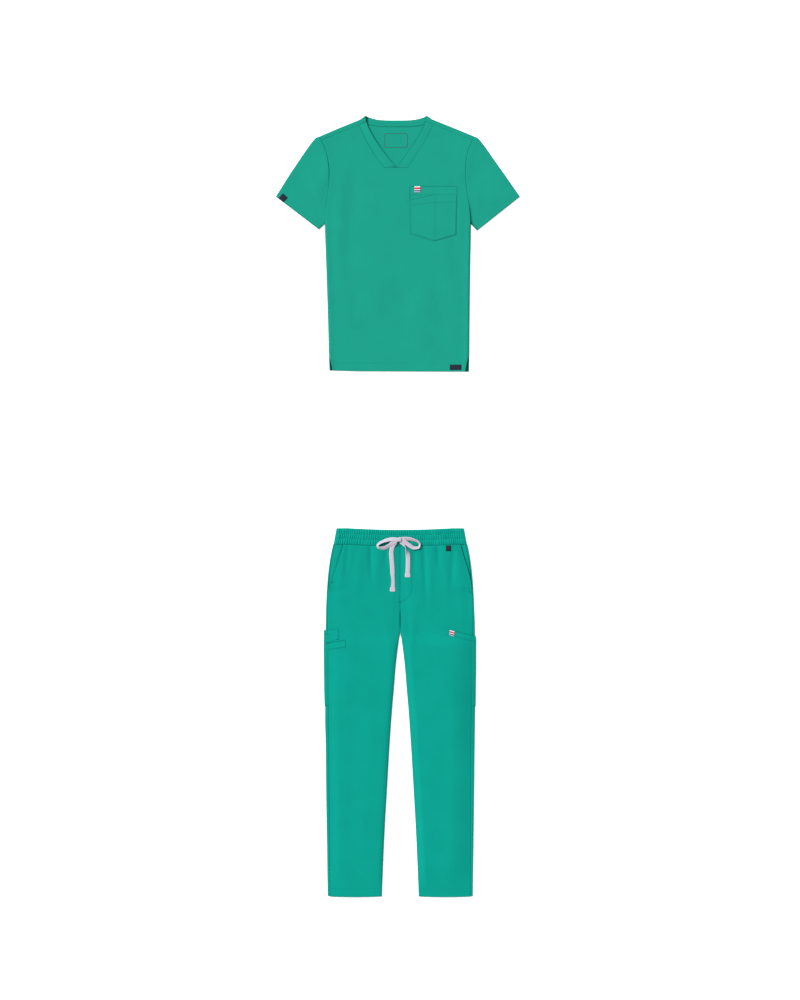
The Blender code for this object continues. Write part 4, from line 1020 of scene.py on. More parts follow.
pocket_across = np.insert(spread(1.0, 0.024, 0.006, 0.036), (1, -1), (0.0012, 0.9988))
pocket_up = np.insert(spread(1.0, 0.020, 0.005, 0.030), (1, -1), (0.0012, 0.9988))
pocket_foot = foot_of(pocket_across)
pocket_drop = pocket_foot + pocket_up[:, None] * (POCKET_TOP - pocket_foot)
pocket_height = pocket_z(pocket_across, pocket_drop, pocket_foot)
pocket_height = pocket_height - 0.0002 * bell(pocket_drop - POCKET_TOP - POCKET_HEM, 0.0015)
# painted shade along the pocket's mouth and its inner side
pocket_shade = 0.55 * bell(pocket_drop - POCKET_TOP, 0.0012)
pocket_shade = pocket_shade + 0.55 * bell(pocket_across * POCKET_WIDE, 0.0014)
pocket = sewn(
    "top_chest_patch",
    top_place(pocket_place(pocket_across, pocket_drop), pocket_drop, pocket_height),
    TOP_CLOTH,
    "chest_pocket",
    "top_cloth",
    wall=PATCH_WALL,
    shade=pocket_shade,
)

over_across = OVERLAY_SIDE + (1 - 2 * OVERLAY_SIDE) * pocket_across
over_foot = foot_of(over_across) - OVERLAY_FOOT
over_top = np.interp(over_across, *zip(*OVERLAY_TOP))
over_drop = over_foot + pocket_up[:, None] * (over_top - over_foot)
over_side = (np.minimum(over_across, 1 - over_across) - OVERLAY_SIDE) * POCKET_WIDE
over_height = pocket_z(over_across, over_drop, over_foot + OVERLAY_FOOT) + ON_PATCH
over_height = over_height + 0.0003 * eased((over_drop - over_top) / 0.004)
over_height = over_height - rolled(np.minimum(over_side, over_foot - over_drop), 0.0026, 0.0002)
# painted shade along the second layer's mouth, darkest at its inner end
over_shade = bell(over_drop - over_top, 0.0011) * (0.80 - 0.45 * eased(over_across / 0.7))
overlay = sewn(
    "top_chest_patch_front",
    top_place(pocket_place(over_across, over_drop), over_drop, over_height),
    TOP_CLOTH,
    "chest_pocket_overlay",
    "top_cloth",
    wall=PATCH_WALL,
    shade=over_shade,
)


def on_pocket(across, drop, layers):
    """Places on the pocket's face, or on the second layer's."""
    across, drop = np.broadcast_arrays(across, drop)
    z = pocket_z(across, drop, foot_of(across)) + PATCH_WALL / 2 + (layers - 1) * (ON_PATCH + 0.0003)
    return top_place(pocket_place(across, drop), drop, z)


whole = np.linspace(0.012, 0.988, 80)
mouth_hem = np.interp(whole, (0, 0.52, 1), (0.0155, 0.0214, 0.0214))
pocket_rows = [
    on_pocket(whole, POCKET_TOP + POCKET_HEM, 1)[:40],
    on_pocket(whole, np.interp(whole, *zip(*OVERLAY_TOP)) + mouth_hem, 2),
    on_pocket(0.535, np.linspace(0.2204, 0.3490, 80), 2),
    on_pocket(0.017, np.linspace(0.2000, 0.3280, 80), 1)[:20],
    on_pocket(0.983, np.linspace(0.2000, 0.3300, 80), 1)[:10],
    on_pocket(0.024, np.linspace(0.2360, 0.3270, 80), 2),
    on_pocket(0.976, np.linspace(0.2210, 0.3295, 80), 2),
    on_pocket(whole[2:-2], foot_of(whole[2:-2]) - 0.0034, 2),
]
pocket_stitch = dict(pitch=0.0028, length=0.0024, thick=0.0007)
stitched("top_chest_stitching", pocket_rows, JADE_SEWING, "top_cloth", **pocket_stitch)

# ---- Top: sewn labels -----------------------------------------------------------------------
# Small woven labels with plain faces: one on the hem and one on the wearer's right cuff, both
# navy, and a striped tab caught in the pocket's mouth. A plain frame is printed inside the neck.
NAVY = (0.0065, 0.0085, 0.0240)
LABEL_WALL = 0.0009


def woven_label(name, colour):
    """Satin weave: one colour with a fine rib in the bump, read from the label's own measure."""
    material = bpy.data.materials.new(name)
    nodes, links, shader = nodes_of(material)
    place = added(nodes, "UVMap")
    place.uv_map = "cloth"
    rib = added(nodes, "TexWave", Scale=9.0)
    rib.bands_direction = "Y"
    links.new(place.outputs["UV"], rib.inputs["Vector"])
    bump = added(nodes, "Bump", Strength=0.2, Distance=0.0002)
    links.new(rib.outputs["Fac"], bump.inputs["Height"])
    links.new(bump.outputs["Normal"], shader.inputs["Normal"])
    surface(shader, 0.7, 0.3, colour)
    return material, nodes, links, shader, place


NAVY_LABEL, *_ = woven_label("navy_label", NAVY)
STRIPED_LABEL, nodes, links, shader, place = woven_label("striped_label", (0.64, 0.64, 0.66))
level = added(nodes, "SeparateXYZ")
links.new(place.outputs["UV"], level.inputs["Vector"])
stripes = added(nodes, "ValToRGB")
stripes.color_ramp.interpolation = "CONSTANT"
first, last = stripes.color_ramp.elements
PALE, BLUE, RED = (0.66, 0.66, 0.69, 1.0), (0.030, 0.040, 0.160, 1.0), (0.560, 0.016, 0.036, 1.0)
first.color, last.color = PALE, PALE
first.position, last.position = 0.0, 0.80
for position, colour in ((0.12, BLUE), (0.34, PALE), (0.50, RED)):
    stripes.color_ramp.elements.new(position).color = colour
links.new(level.outputs["Y"], stripes.inputs["Fac"])
links.new(stripes.outputs["Color"], shader.inputs["Base Color"])


def label(name, corners, material, node, slot, face, points=13):
    """A flat label between four corners (x, drop), clockwise from its own top left; face gives
    places on the cloth below it. Its rim is turned under, so it falls at the border."""
    corners = np.array(corners, float)
    across, down = np.meshgrid(np.linspace(0, 1, points), np.linspace(0, 1, points))
    a, d = across[..., None], down[..., None]
    head = corners[0] * (1 - a) + corners[1] * a
    foot = corners[3] * (1 - a) + corners[2] * a
    spot = head * (1 - d) + foot * d
    place = face(spot[..., 0], spot[..., 1])
    border = np.minimum(np.minimum(across, 1 - across), np.minimum(down, 1 - down))
    place[..., 2] += LABEL_WALL / 2 + 0.0002 + 0.0004 * eased(border / 0.12)
    uv = np.stack((across, 1 - down), axis=-1)
    made = sewn(name, place, material, node, slot, wall=LABEL_WALL, uv=uv)
    return made


def upright(left, right, head, foot):
    """The corners of an upright label."""
    return ((left, head), (right, head), (right, foot), (left, foot))


def pocket_face(x, drop):
    """Places on the pocket's face below its mouth."""
    place = on_front(x, drop)
    place[..., 2] += ON_CLOTH + 0.0003
    return place


def sleeve_face(x, drop):
    """Places on the sleeve's face near its cuff."""
    return top_place(x, drop, UPPER + 0.0012 + CLOTH / 2)


label(
    "top_hem_patch",
    upright(0.1455, 0.1777, 0.6988, 0.7132),
    NAVY_LABEL,
    "hem_label",
    "label",
    on_front,
)
label(
    "top_chest_stripe",
    upright(0.0457, 0.0629, 0.1957, 0.2121),
    STRIPED_LABEL,
    "chest_tab",
    "tab",
    pocket_face,
)
TAG_AT = (-0.3245, 0.2280)
TAG_TURN = radians(-41)
TAG_HALF = 0.0087
tag_ways = np.array(((-1, -1), (1, -1), (1, 1), (-1, 1))) * TAG_HALF
tag_along = np.array((np.cos(TAG_TURN), -np.sin(TAG_TURN)))
tag_down = np.array((np.sin(TAG_TURN), np.cos(TAG_TURN)))
label(
    "top_cuff_patch",
    TAG_AT + tag_ways[:, :1] * tag_along + tag_ways[:, 1:] * tag_down,
    NAVY_LABEL,
    "sleeve_tag",
    "label",
    sleeve_face,
)

# the printed frame: a band 1.9 mm wide round a rounded rectangle, 0.1 mm thick
FRAME_HALF = (0.0331, 0.0208)
FRAME_CENTRE = (-0.0061, 0.0665)
FRAME_CORNER = 0.0075
FRAME_LINE = 0.0019
angle = np.linspace(0, 2 * pi, 97)[:-1]
corner_way = np.stack((np.cos(angle), np.sin(angle)), axis=1)
frame_rows = []
for inset in (0, FRAME_LINE):
    middle = np.sign(corner_way) * (np.array(FRAME_HALF) - FRAME_CORNER)
    frame_rows.append(np.array(FRAME_CENTRE) + middle + corner_way * (FRAME_CORNER - inset))
frame_lines = np.array(frame_rows)
frame_points = top_place(frame_lines[..., 0], frame_lines[..., 1], LOWER + CLOTH / 2 + 0.00018)
PRINT = bpy.data.materials.new("neck_print")
_, _, print_shader = nodes_of(PRINT)
print_shader.inputs["Base Color"].default_value = (0.016, 0.125, 0.105, 1.0)
print_shader.inputs["Roughness"].default_value = 0.8
printed = grid_object("top_neck_print", frame_points, ring=True, wall=0.0001)
printed.data.materials.append(PRINT)
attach(printed, "root")

# ---- Trousers: waistband --------------------------------------------------------------------
# A flattened tube of teal twill with elastic inside, held by two rows of stitching that part it
# into three gathered tiers. It is sewn to the legs along a seam that dips in the middle.
TEAL = (0.0022, 0.276, 0.216)
TROUSER_CLOTH = scrub_cloth("teal_twill", TEAL)
TEAL_SEWING = sewing_thread("teal_thread", (0.002, 0.155, 0.124))
# half width of the band at its top and at its seam, and the gathers across it
BAND_HALF = (0.1797, 0.1881)
GATHERS = 58
# share of the band's depth, height of the puff, share of the gathers' height
BAND_ROWS = (
    (0.00, 0.0002, 0.35),
    (0.06, 0.0008, 0.90),
    (0.15, 0.0011, 1.00),
    (0.26, 0.0009, 0.90),
    (0.31, 0.0005, 0.70),
    (0.36, 0.0009, 0.90),
    (0.46, 0.0011, 1.00),
    (0.57, 0.0009, 0.90),
    (0.63, 0.0005, 0.70),
    (0.69, 0.0009, 0.90),
    (0.80, 0.0012, 1.00),
    (0.92, 0.0009, 0.90),
    (1.00, 0.0002, 0.60),
)


def waist_seam(x):
    """Drop of the seam under the waistband, lower in the middle."""
    return 0.0491 - 0.0051 * (np.abs(x) / BAND_HALF[1]) ** 2


def gathers(u, tier):
    """Uneven gathers from 0 in their valleys to 1: the root of a sine whose phase wanders, with
    a step of its own in each tier."""
    wander = 0.9 * np.sin(7.3 * u + 0.6) + 0.6 * np.sin(17.1 * u) + 0.5 * np.sin(31.7 * u + 2.0 * tier)
    phase = pi * GATHERS * (u + 1) / 2 + wander + 0.5 * np.sin(2.4 * tier + 5.0 * u)
    height = 0.72 + 0.28 * np.sin(11.9 * u + 1.3 + 1.7 * tier) * np.sin(23.0 * u + tier)
    return height * np.abs(np.sin(phase)) ** 0.7


def band_place(u, share):
    """Places on the upper layer's middle at a share of the half width and of the band's depth."""
    u, share = np.broadcast_arrays(u, share)
    half = BAND_HALF[0] + (BAND_HALF[1] - BAND_HALF[0]) * share - FOLD_RADIUS - CLOTH / 2
    x = u * half
    head = 0.0045 * np.clip(1 - 1.5 * u * u, 0, 1) - 0.0010
    drop = head + share * (waist_seam(x) - SEAM_GAP / 2 - head)
    puff, wave = np.moveaxis(along(BAND_ROWS, share), -1, 0)
    tier = eased((share - 0.28) / 0.06) + eased((share - 0.60) / 0.06)
    z = puff + 0.0024 * wave * gathers(u, tier)
    return trouser_place(x, drop, UPPER + 0.0002 + z * eased((1 - np.abs(u)) * half / 0.007))


band_u = np.linspace(-1, 1, 581)[None, :]
band_share = np.linspace(0, 1, 43)[:, None]
band_upper = band_place(band_u, band_share)
lower_u = np.linspace(1, -1, 25)[None, 1:-1]
band_lower = band_place(lower_u, band_share)
band_lower[..., 2] = LOWER
band_bends = []
for column, out in ((-1, 1), (0, -1)):
    bend_turn = np.linspace(0, pi, 9)[1:]
    bend = np.repeat(band_upper[:, column][:, None], len(bend_turn), axis=1)
    bend[..., 0] += out * FOLD_RADIUS * np.sin(bend_turn)
    bend[..., 2] += (LOWER - bend[..., 2]) * (1 - np.cos(bend_turn)) / 2
    band_bends.append(bend)
band_ring = np.concatenate((band_upper, band_bends[0], band_lower, band_bends[1][:, ::-1]), axis=1)
band_cloth = sewn("trouser_waistband", band_ring, TROUSER_CLOTH, "waistband", "trouser_cloth", ring=True)

band_rows = []
for share in (0.31, 0.63, 0.985):
    row = band_place(np.linspace(-0.985, 0.985, 400), share)
    row[..., 2] += CLOTH / 2
    band_rows.append(row)
stitched("trouser_waistband_stitching", band_rows, TEAL_SEWING, "trouser_cloth")

# ---- Trousers: legs -------------------------------------------------------------------------
# Two fronts lie on two backs of the same teal twill. The backs turn up round the sides to the
# outseams. The fronts are cut away at the slant pockets, and the hems are turned up 22 mm.
# drop, half width to the outer edge, inner edge
LEG = (
    (0.0440, 0.1881, 0.0000),
    (0.0660, 0.1936, 0.0000),
    (0.0885, 0.1977, 0.0000),
    (0.1308, 0.2029, 0.0000),
    (0.1788, 0.2064, 0.0000),
    (0.2295, 0.2087, 0.0000),
    (0.2888, 0.2107, 0.0000),
    (0.3085, 0.2109, 0.0032),
    (0.3423, 0.2112, 0.0079),
    (0.3846, 0.2115, 0.0127),
    (0.4551, 0.2115, 0.0186),
    (0.5003, 0.2112, 0.0226),
    (0.5961, 0.2099, 0.0295),
    (0.7089, 0.2087, 0.0362),
    (0.8499, 0.2070, 0.0443),
    (0.9909, 0.2049, 0.0505),
    (1.0372, 0.2043, 0.0522),
)
# drop and x of each front's outer edge
FRONT_EDGE = {
    1: ((0.0440, 0.1695), (0.1788, 0.2033), (0.3029, 0.2053), (0.5003, 0.2013), (1.0372, 0.1985)),
    -1: (
        (0.0440, 0.1589),
        (0.1506, 0.1937),
        (0.1788, 0.2019),
        (0.2831, 0.2036),
        (0.5003, 0.2016),
        (1.0372, 0.1963),
    ),
}
# drops where the slant pockets' facings end
FACING_END = {1: 0.1640, -1: 0.1700}
# drops where the rows start, the pockets' mouths end, the inseams start and the legs end
LEG_START = 0.0470
MOUTH_END = 0.1788
CROTCH = 0.2888
LEG_END = 1.0372
LEG_HEM_UP = 0.0224
# x at the top, lean, start, end, width and depth of the troughs that hang from the waistband
TROUGHS = (
    (-0.147, -0.10, 0.050, 0.170, 0.0075, 0.55),
    (-0.084, 0.03, 0.045, 0.170, 0.0070, 0.95),
    (-0.041, 0.02, 0.045, 0.130, 0.0070, 0.60),
    (0.039, 0.02, 0.045, 0.150, 0.0065, 0.60),
    (0.066, 0.05, 0.045, 0.270, 0.0075, 0.90),
    (0.106, 0.05, 0.045, 0.130, 0.0075, 0.70),
    (0.150, -0.06, 0.075, 0.190, 0.0080, 0.75),
    (0.012, 0.10, 0.180, 0.420, 0.0075, 0.85),
)
# x, drop, reach along, reach across, tilt, height of the softer folds
LEG_FOLDS = (
    (-0.115, 0.100, 0.070, 0.014, 4, 0.0013),
    (-0.062, 0.090, 0.060, 0.010, 0, 0.0012),
    (-0.018, 0.110, 0.080, 0.012, 0, 0.0008),
    (0.086, 0.110, 0.080, 0.010, 3, 0.0013),
    (0.126, 0.110, 0.070, 0.010, -4, 0.0010),
    (0.034, 0.300, 0.090, 0.010, 6, 0.0012),
    (-0.034, 0.300, 0.080, 0.014, -8, 0.0008),
    (-0.150, 0.420, 0.120, 0.024, 3, 0.0011),
    (-0.090, 0.560, 0.160, 0.026, -3, 0.0010),
    (-0.160, 0.760, 0.140, 0.020, 2, 0.0009),
    (-0.100, 0.880, 0.110, 0.022, -4, 0.0008),
    (0.120, 0.400, 0.130, 0.026, -3, 0.0010),
    (0.160, 0.560, 0.180, 0.022, 0, 0.0012),
    (0.085, 0.660, 0.140, 0.024, 4, 0.0009),
    (0.150, 0.860, 0.130, 0.022, 2, 0.0009),
)
# drop, how much farther out the wearer's right leg lies
FULLER = (
    (0.0440, 0.0000),
    (0.1300, 0.0008),
    (0.2100, 0.0009),
    (0.2700, 0.0000),
    (0.5000, 0.0006),
    (0.5400, 0.0014),
    (0.6200, 0.0006),
    (0.7500, 0.0008),
    (0.9000, 0.0002),
    (0.9800, 0.0006),
    (1.0372, 0.0000),
)


def leg_edges(drop, side):
    """Outer edge, inner edge and the front's own outer edge."""
    outer, inner = np.moveaxis(along(LEG, drop), -1, 0)
    outer = outer + along(FULLER, drop)[..., 0] * (side < 0)
    return outer, inner, along(FRONT_EDGE[side], drop)[..., 0]


def round_edge(distance, reach, depth):
    """How far a rounded edge falls: the quarter of an ellipse."""
    share = np.clip(1 - distance / reach, 0, 1)
    return depth * (1 - np.sqrt(1 - share * share))


def leg_z(x, drop, side):
    """Middle height of a front, x outwards from the middle line: fullness under the waistband
    less its troughs, the soft folds, the lift of the pocket's mouth and the worked edges."""
    x, drop = np.broadcast_arrays(x, drop)
    outer, inner, edge = leg_edges(drop, side)
    fade = 1 - eased((drop - 0.0440) / 0.2600)
    puff = 0.0010 + 0.0022 * fade
    full = 1.0
    for start_x, lean, start, end, width, depth in TROUGHS:
        reach = eased((drop - start + 0.03) / 0.03) * eased((end - drop) / (0.6 * (end - start)))
        full = full * (1 - depth * reach * bell(side * x - start_x - lean * (drop - start), width))
    from_in, from_out, from_waist = x - inner, edge - x, drop - waist_seam(x)
    mouth = eased((MOUTH_END - drop) / 0.018)
    lift = 0.0019 * mouth * (1 - eased((from_out - 0.014) / 0.04))
    inside = eased((outer - 0.010 - x) / 0.030) * eased(from_in / 0.025)
    at_hem = 0.35 + 0.65 * eased((LEG_END - drop) / 0.20)
    folds = soft_folds(side * x, drop, LEG_FOLDS) * eased((LEG_END - drop) / 0.06)
    fringe = np.exp(-from_waist / 0.014) * eased(from_waist / 0.004)
    fringe = 0.0009 * gathers(side * x / BAND_HALF[1], 2) * fringe
    below = eased((drop - CROTCH) / 0.050)
    up = leg_hem(x) - drop
    beside_strip = eased((drop - (0.300 if side > 0 else 0.283)) / 0.006)
    beside_strip = beside_strip * eased((0.504 - drop) / 0.004)
    work = 0.0012 - rolled(from_out, 0.0035, 0.0007) * (1 - mouth) * (1 - beside_strip)
    work = work - rolled(from_waist, 0.0040, 0.0010) - rolled(from_in, 0.0028, 0.0008) * (1 - below)
    work = work - round_edge(from_in, 0.0070, 0.0012) * below
    if side > 0:
        dome = 0.0056 * eased(from_in / 0.022) * (1 - np.clip(1 - from_out / 0.066, 0, 1) ** 2)
    else:
        dome = 0.0024 * eased(from_in / 0.012) * eased(from_out / 0.026)
    dome = dome * below * eased(up / 0.10)
    hem = 0.0004 * (1 - eased((up - LEG_HEM_UP + 0.001) / 0.003))
    hem = hem - 0.0003 * bell(up - LEG_HEM_UP, 0.0016) - rolled(up, 0.0030, 0.0009)
    return UPPER + lift + (puff * full * at_hem + folds + fringe) * inside + dome + work + hem


def leg_hem(x):
    """Drop of the hem, which bows down a little in the middle of the leg."""
    return LEG_END + 0.0020 * np.clip(1 - ((x - 0.12825) / 0.07605) ** 2, 0, 1)


def bowed(base, x):
    """Rows follow the waist seam at the top and the hem at the bottom."""
    top = (waist_seam(x) + SEAM_GAP / 2 - LEG_START) * (1 - eased((base - LEG_START) / 0.03))
    return base + top + (leg_hem(x) - LEG_END) * eased((base - 0.95) / (LEG_END - 0.95))


def strip_z(x, drop, side):
    """Middle height of the back's turned strip beside the front."""
    _, _, edge = leg_edges(drop, side)
    return UPPER + 0.0005 + 0.0007 * eased((x - edge) / 0.0035)


def outer_shade(x, drop, side):
    """How much painted shade darkens the wearer's left leg towards its outer side, most above the knee."""
    fade = 0.35 + 0.65 * bell(drop - 0.430, 0.200)
    deeper = 0.08 * eased((x - 0.120) / 0.085) + 0.12 * eased((x - 0.192) / 0.012)
    return deeper * eased((drop - 0.200) / 0.120) * fade * (side > 0)


leg_base = LEG_START + spread(LEG_END - LEG_START, 0.0036, 0.0009, 0.030)
leg_share = spread(1.0, 0.0150, 0.0035, 0.035)
strip_turn = np.linspace(0, pi, 11)[::-1]
for side, name in ((-1, "right"), (1, "left")):
    outer, inner, edge = leg_edges(leg_base, side)
    inner = inner + SEAM_GAP / 2
    x = inner[:, None] + leg_share * (edge - inner)[:, None]
    drop = bowed(leg_base[:, None], x)
    z = leg_z(x, drop, side)
    from_in = x - inner[:, None]
    # painted shade along the centre seam, deepest at the crotch, along the inner edge of the wearer's right
    # leg, under the waist seam and towards the left leg's outer side
    deep = 0.42 + 0.46 * bell(drop - 0.256, 0.024, 4)
    centre_seam_shade = deep * bell(from_in, 0.0011 + 0.0018 * (deep - 0.42)) * (drop < CROTCH)
    inner_edge_shade = (0.75 if side < 0 else 0.0) * bell(from_in, 0.0026) * eased((drop - 0.285) / 0.01)
    shade = 0.20 * bell(drop - waist_seam(x), 0.0013) + centre_seam_shade + inner_edge_shade + outer_shade(x, drop, side)
    places = trouser_place(side * x, drop, z)
    piece, node = f"trouser_front_{name}", f"leg_{name}_front"
    made = sewn(piece, places, TROUSER_CLOTH, node, "trouser_cloth", shade=shade)

    base = leg_base[::3]
    outer, inner, edge = (values[:, None] for values in leg_edges(base, side))
    radius = 0.0008 + 0.0013 * eased((base[:, None] - FACING_END[side]) / 0.03)
    centre = outer - CLOTH / 2 - radius
    end = np.where(base[:, None] > FACING_END[side], edge + 0.0003, outer - 0.0036)
    end = np.minimum(end, outer - 0.00165)
    inner = inner + SEAM_GAP / 2
    under = inner + (centre - inner) * np.linspace(0, 1, 20)[:-1]
    top = strip_z(centre, base[:, None], side)
    bend_x = centre + radius * np.sin(strip_turn)
    bend_z = (top + LOWER) / 2 + (top - LOWER) / 2 * np.cos(strip_turn)
    over = centre + (end - centre) * np.linspace(0, 1, 8)[1:]
    x = np.concatenate((under, bend_x, over), axis=1)
    z = np.concatenate((np.full(under.shape, LOWER), bend_z, strip_z(over, base[:, None], side)), axis=1)
    drop = bowed(base[:, None], x)
    # painted shade under the waist seam and along the wearer's left outer edge
    shade = 0.25 * bell(drop - waist_seam(x), 0.0013)
    shade = shade + (0.50 if side > 0 else 0.0) * bell(outer - x, 0.0020) + outer_shade(x, drop, side)
    places = trouser_place(side * x, drop, z)
    piece, node = f"trouser_back_{name}", f"leg_{name}_back"
    made = sewn(piece, places, TROUSER_CLOTH, node, "trouser_cloth", shade=shade)

# ---- Trousers: hip pockets ------------------------------------------------------------------
# The facing of each slant pocket, of the same twill, is sewn into the waist and the outseam. It
# shows between the front's lifted mouth and the side.
for side, name in ((-1, "right"), (1, "left")):
    drop = np.linspace(0.0475, FACING_END[side] - 0.0003, 60)[:, None]
    outer, _, edge = leg_edges(drop, side)
    start = edge - 0.0123 * eased((0.158 - drop) / 0.020) + 0.0003
    down = (drop - 0.0475) / (FACING_END[side] - 0.0478)
    across = np.linspace(0, 1, 17)
    x = start + across * (outer - 0.0036 - 0.0003 * (1 + 4 * down) - start)
    z = UPPER + 0.0005 * np.sin(pi * across) * (1 - 0.8 * down) + 0.0003 * across
    # painted shadow on the facing beside the front's lifted mouth, deeper on the wearer's left
    deep, deepest = (0.60, 0.80) if side > 0 else (0.25, 0.12)
    shade = (deep + 0.35 * bell(down - deepest, 0.25)) * bell(np.clip(x - edge, 0, 1), 0.0028)
    places = trouser_place(side * x, bowed(drop, x), z)
    piece, node = f"trouser_hip_facing_{name}", f"hip_pocket_{name}"
    made = sewn(piece, places, TROUSER_CLOTH, node, "trouser_cloth", shade=shade)


def on_leg(x, drop):
    """Places on a front's face, x to the wearer's left."""
    x, drop = np.broadcast_arrays(x, drop)
    z = np.where(x > 0, leg_z(np.abs(x), drop, 1), leg_z(np.abs(x), drop, -1))
    return trouser_place(x, drop, z + CLOTH / 2)


# the mock fly's curve: x, drop
FLY = (
    (0.0319, 0.0500),
    (0.0325, 0.1000),
    (0.0335, 0.1500),
    (0.0325, 0.1720),
    (0.0270, 0.1890),
    (0.0150, 0.2010),
    (0.0020, 0.2065),
)
fly_run = run_of(FLY)
fly_x, fly_drop = along(np.column_stack((fly_run, FLY)), np.linspace(0, fly_run[-1], 120)).T
leg_rows = [on_leg(fly_x, fly_drop), on_leg(fly_x - 0.0022, fly_drop - 0.0015)]
leg_rows.append(on_leg(-0.0042, np.linspace(0.0510, 0.2860, 90)))
for side in (-1, 1):
    mouth_drop = np.linspace(0.0480, 0.1780, 60)
    _, _, mouth_edge = leg_edges(mouth_drop, side)
    for inset in (0.0022, 0.0088):
        leg_rows.append(on_leg(side * (mouth_edge - inset), mouth_drop))
    hem_x = np.linspace(0.0560, 0.1940, 60)
    leg_rows.append(on_leg(side * hem_x, leg_hem(hem_x) - LEG_HEM_UP))
stitched("trouser_leg_stitching", leg_rows, TEAL_SEWING, "trouser_cloth", thick=0.0005)
# x, drop and lean of each bar tack
TACKS = (
    (-0.0006, 0.2070, 0),
    (0.1968, MOUTH_END, 0.3),
    (-0.1915, 0.1520, -0.3),
    (0.1489, 0.0500, 1.5),
)
tack_run = np.linspace(-0.0035, 0.0035, 12)
tacks = []
for tack_x, tack_drop, lean in TACKS:
    for offset in (-0.0008, 0.0, 0.0008):
        tack_across = tack_run * np.cos(lean) - offset * np.sin(lean)
        tack_down = tack_run * np.sin(lean) + offset * np.cos(lean)
        tacks.append(on_leg(tack_x + tack_across, tack_drop + tack_down))
tack_stitch = dict(pitch=0.0012, length=0.0014, thick=0.0008)
stitched("trouser_bar_tacks", tacks, TEAL_SEWING, "trouser_cloth", **tack_stitch)

# ---- Trousers: side pockets -----------------------------------------------------------------
# Cargo pockets hang over the outseams and round the sides, each with a stitched welt on the
# front. The wearer's right one has a small pen pocket above its welt.
STRIP_X = 0.2013
# inner end, its drop, drop at the outline, bulge beyond the outline
CARGO = {
    1: (
        (0.1348, 0.2826, 0.3037, 0.0028),
        (0.1280, 0.2984, 0.3195, 0.0034),
        (STRIP_X, 0.3500, 0.3500, 0.0030),
        (STRIP_X, 0.4000, 0.4000, 0.0026),
        (STRIP_X, 0.4500, 0.4500, 0.0019),
        (STRIP_X, 0.5003, 0.5003, 0.0016),
    ),
    -1: (
        (0.1557, 0.3130, 0.3254, 0.0052),
        (0.1535, 0.3347, 0.3423, 0.0050),
        (STRIP_X, 0.3560, 0.3560, 0.0048),
        (STRIP_X, 0.4000, 0.4000, 0.0042),
        (STRIP_X, 0.4500, 0.4500, 0.0036),
        (STRIP_X, 0.5003, 0.5003, 0.0026),
    ),
}
PEN_POCKET = ((0.1746, 0.2812, 0.2862, 0.0050), (0.1727, 0.3114, 0.3253, 0.0052))
# radius and angles of a pocket's turn round the side, and how far its welt stands up
SIDE_BEND = 0.0022
SIDE_TURN = np.radians(np.linspace(10, 90, 9))
WELT_LIFT = 0.0002


def leg_top(x, drop, side):
    """Middle height of the leg's upper cloth, front or turned back, its outseam bridged."""
    _, _, edge = leg_edges(drop, side)
    return np.where(x < edge, leg_z(np.minimum(x, edge), drop, side), UPPER + 0.0012)


def patch_grid(side, table, face_columns, strip):
    """x, drop and the bend's angle of a patch's columns at each row of its table: along the face
    from the inner end to the strip, then to the start of the bend, then round the side."""
    rows = []
    for inner, inner_drop, outer_drop, bulge in table:
        outline = float(along(LEG, outer_drop)[0]) + bulge
        centre = outline - CLOTH / 2 - SIDE_BEND
        split = min(max(inner, STRIP_X), centre) if strip else centre
        start = min(inner, STRIP_X) if strip else inner
        beyond = np.array((0.015, 0.10, 0.22, 0.36, 0.52, 0.68, 0.84, 1.0))
        x = np.concatenate((np.linspace(start, split, face_columns), split + (centre - split) * beyond))
        if not strip:
            x = np.linspace(start, centre, len(x))
        share = np.clip((x - inner) / (outline - inner), 0, 1)
        drop = inner_drop + share * (outer_drop - inner_drop)
        x = np.concatenate((x, centre + SIDE_BEND * np.sin(SIDE_TURN)))
        rows.append(np.stack((x, np.append(drop, np.full(len(SIDE_TURN), outer_drop)))))
    return np.array(rows)


def side_patch(name, side, table, node, strip, wrinkles=()):
    """A pocket on the leg: its control rows are joined by smooth curves; past the welt only the
    strip beyond the front's edge is cloth."""
    face = 60
    control = patch_grid(side, table, face, strip)
    steps = np.linspace(0, 1, 33)
    if strip:
        welt = (0, 0.015, 0.06, 0.16, 0.28, 0.40, 0.52, 0.64, 0.76, 0.88, 0.95, 0.985)
        steps = np.concatenate((welt, np.linspace(1, len(table) - 1, 81)))
    flat = along(np.column_stack((np.arange(len(table)), control.reshape(len(table), -1))), steps)
    x, drop = np.moveaxis(flat.reshape(len(steps), 2, -1), 1, 0)
    z = leg_top(x, drop, side) + ON_CLOTH
    if strip:
        beyond = eased((steps - 1.0) / 0.3)[:, None]
        z = z - 0.0011 * beyond * (1 - eased((x - STRIP_X) / 0.0045))
    puff = WELT_LIFT * eased(steps / 0.35) * (1 if strip else eased((1 - steps) / 0.35))
    z = z + puff[:, None] + soft_folds(x, drop, wrinkles)
    round_side = slice(-len(SIDE_TURN), None)
    brink = z[:, -len(SIDE_TURN) - 1][:, None]
    z[:, round_side] = brink - (brink - LOWER - CLOTH) * (1 - np.cos(SIDE_TURN))
    # painted shade along the welt's top edge and round the turn of the wearer's left side
    shade = 0.40 * bell(steps, 0.10 if strip else 0.035)[:, None] + outer_shade(x, drop, side)
    shade[:, round_side] += (0.50 if side > 0 else 0.0) * np.sin(SIDE_TURN)
    keep = None
    if strip:
        i, j = np.meshgrid(np.arange(len(steps) - 1), np.arange(x.shape[1] - 1), indexing="ij")
        keep = (i < len(welt)) | (j >= face - 1)
    points = trouser_place(side * x, drop, z)
    form = dict(wall=PATCH_WALL, shade=shade, keep=keep)
    return sewn(name, points, TROUSER_CLOTH, node, "trouser_cloth", **form)


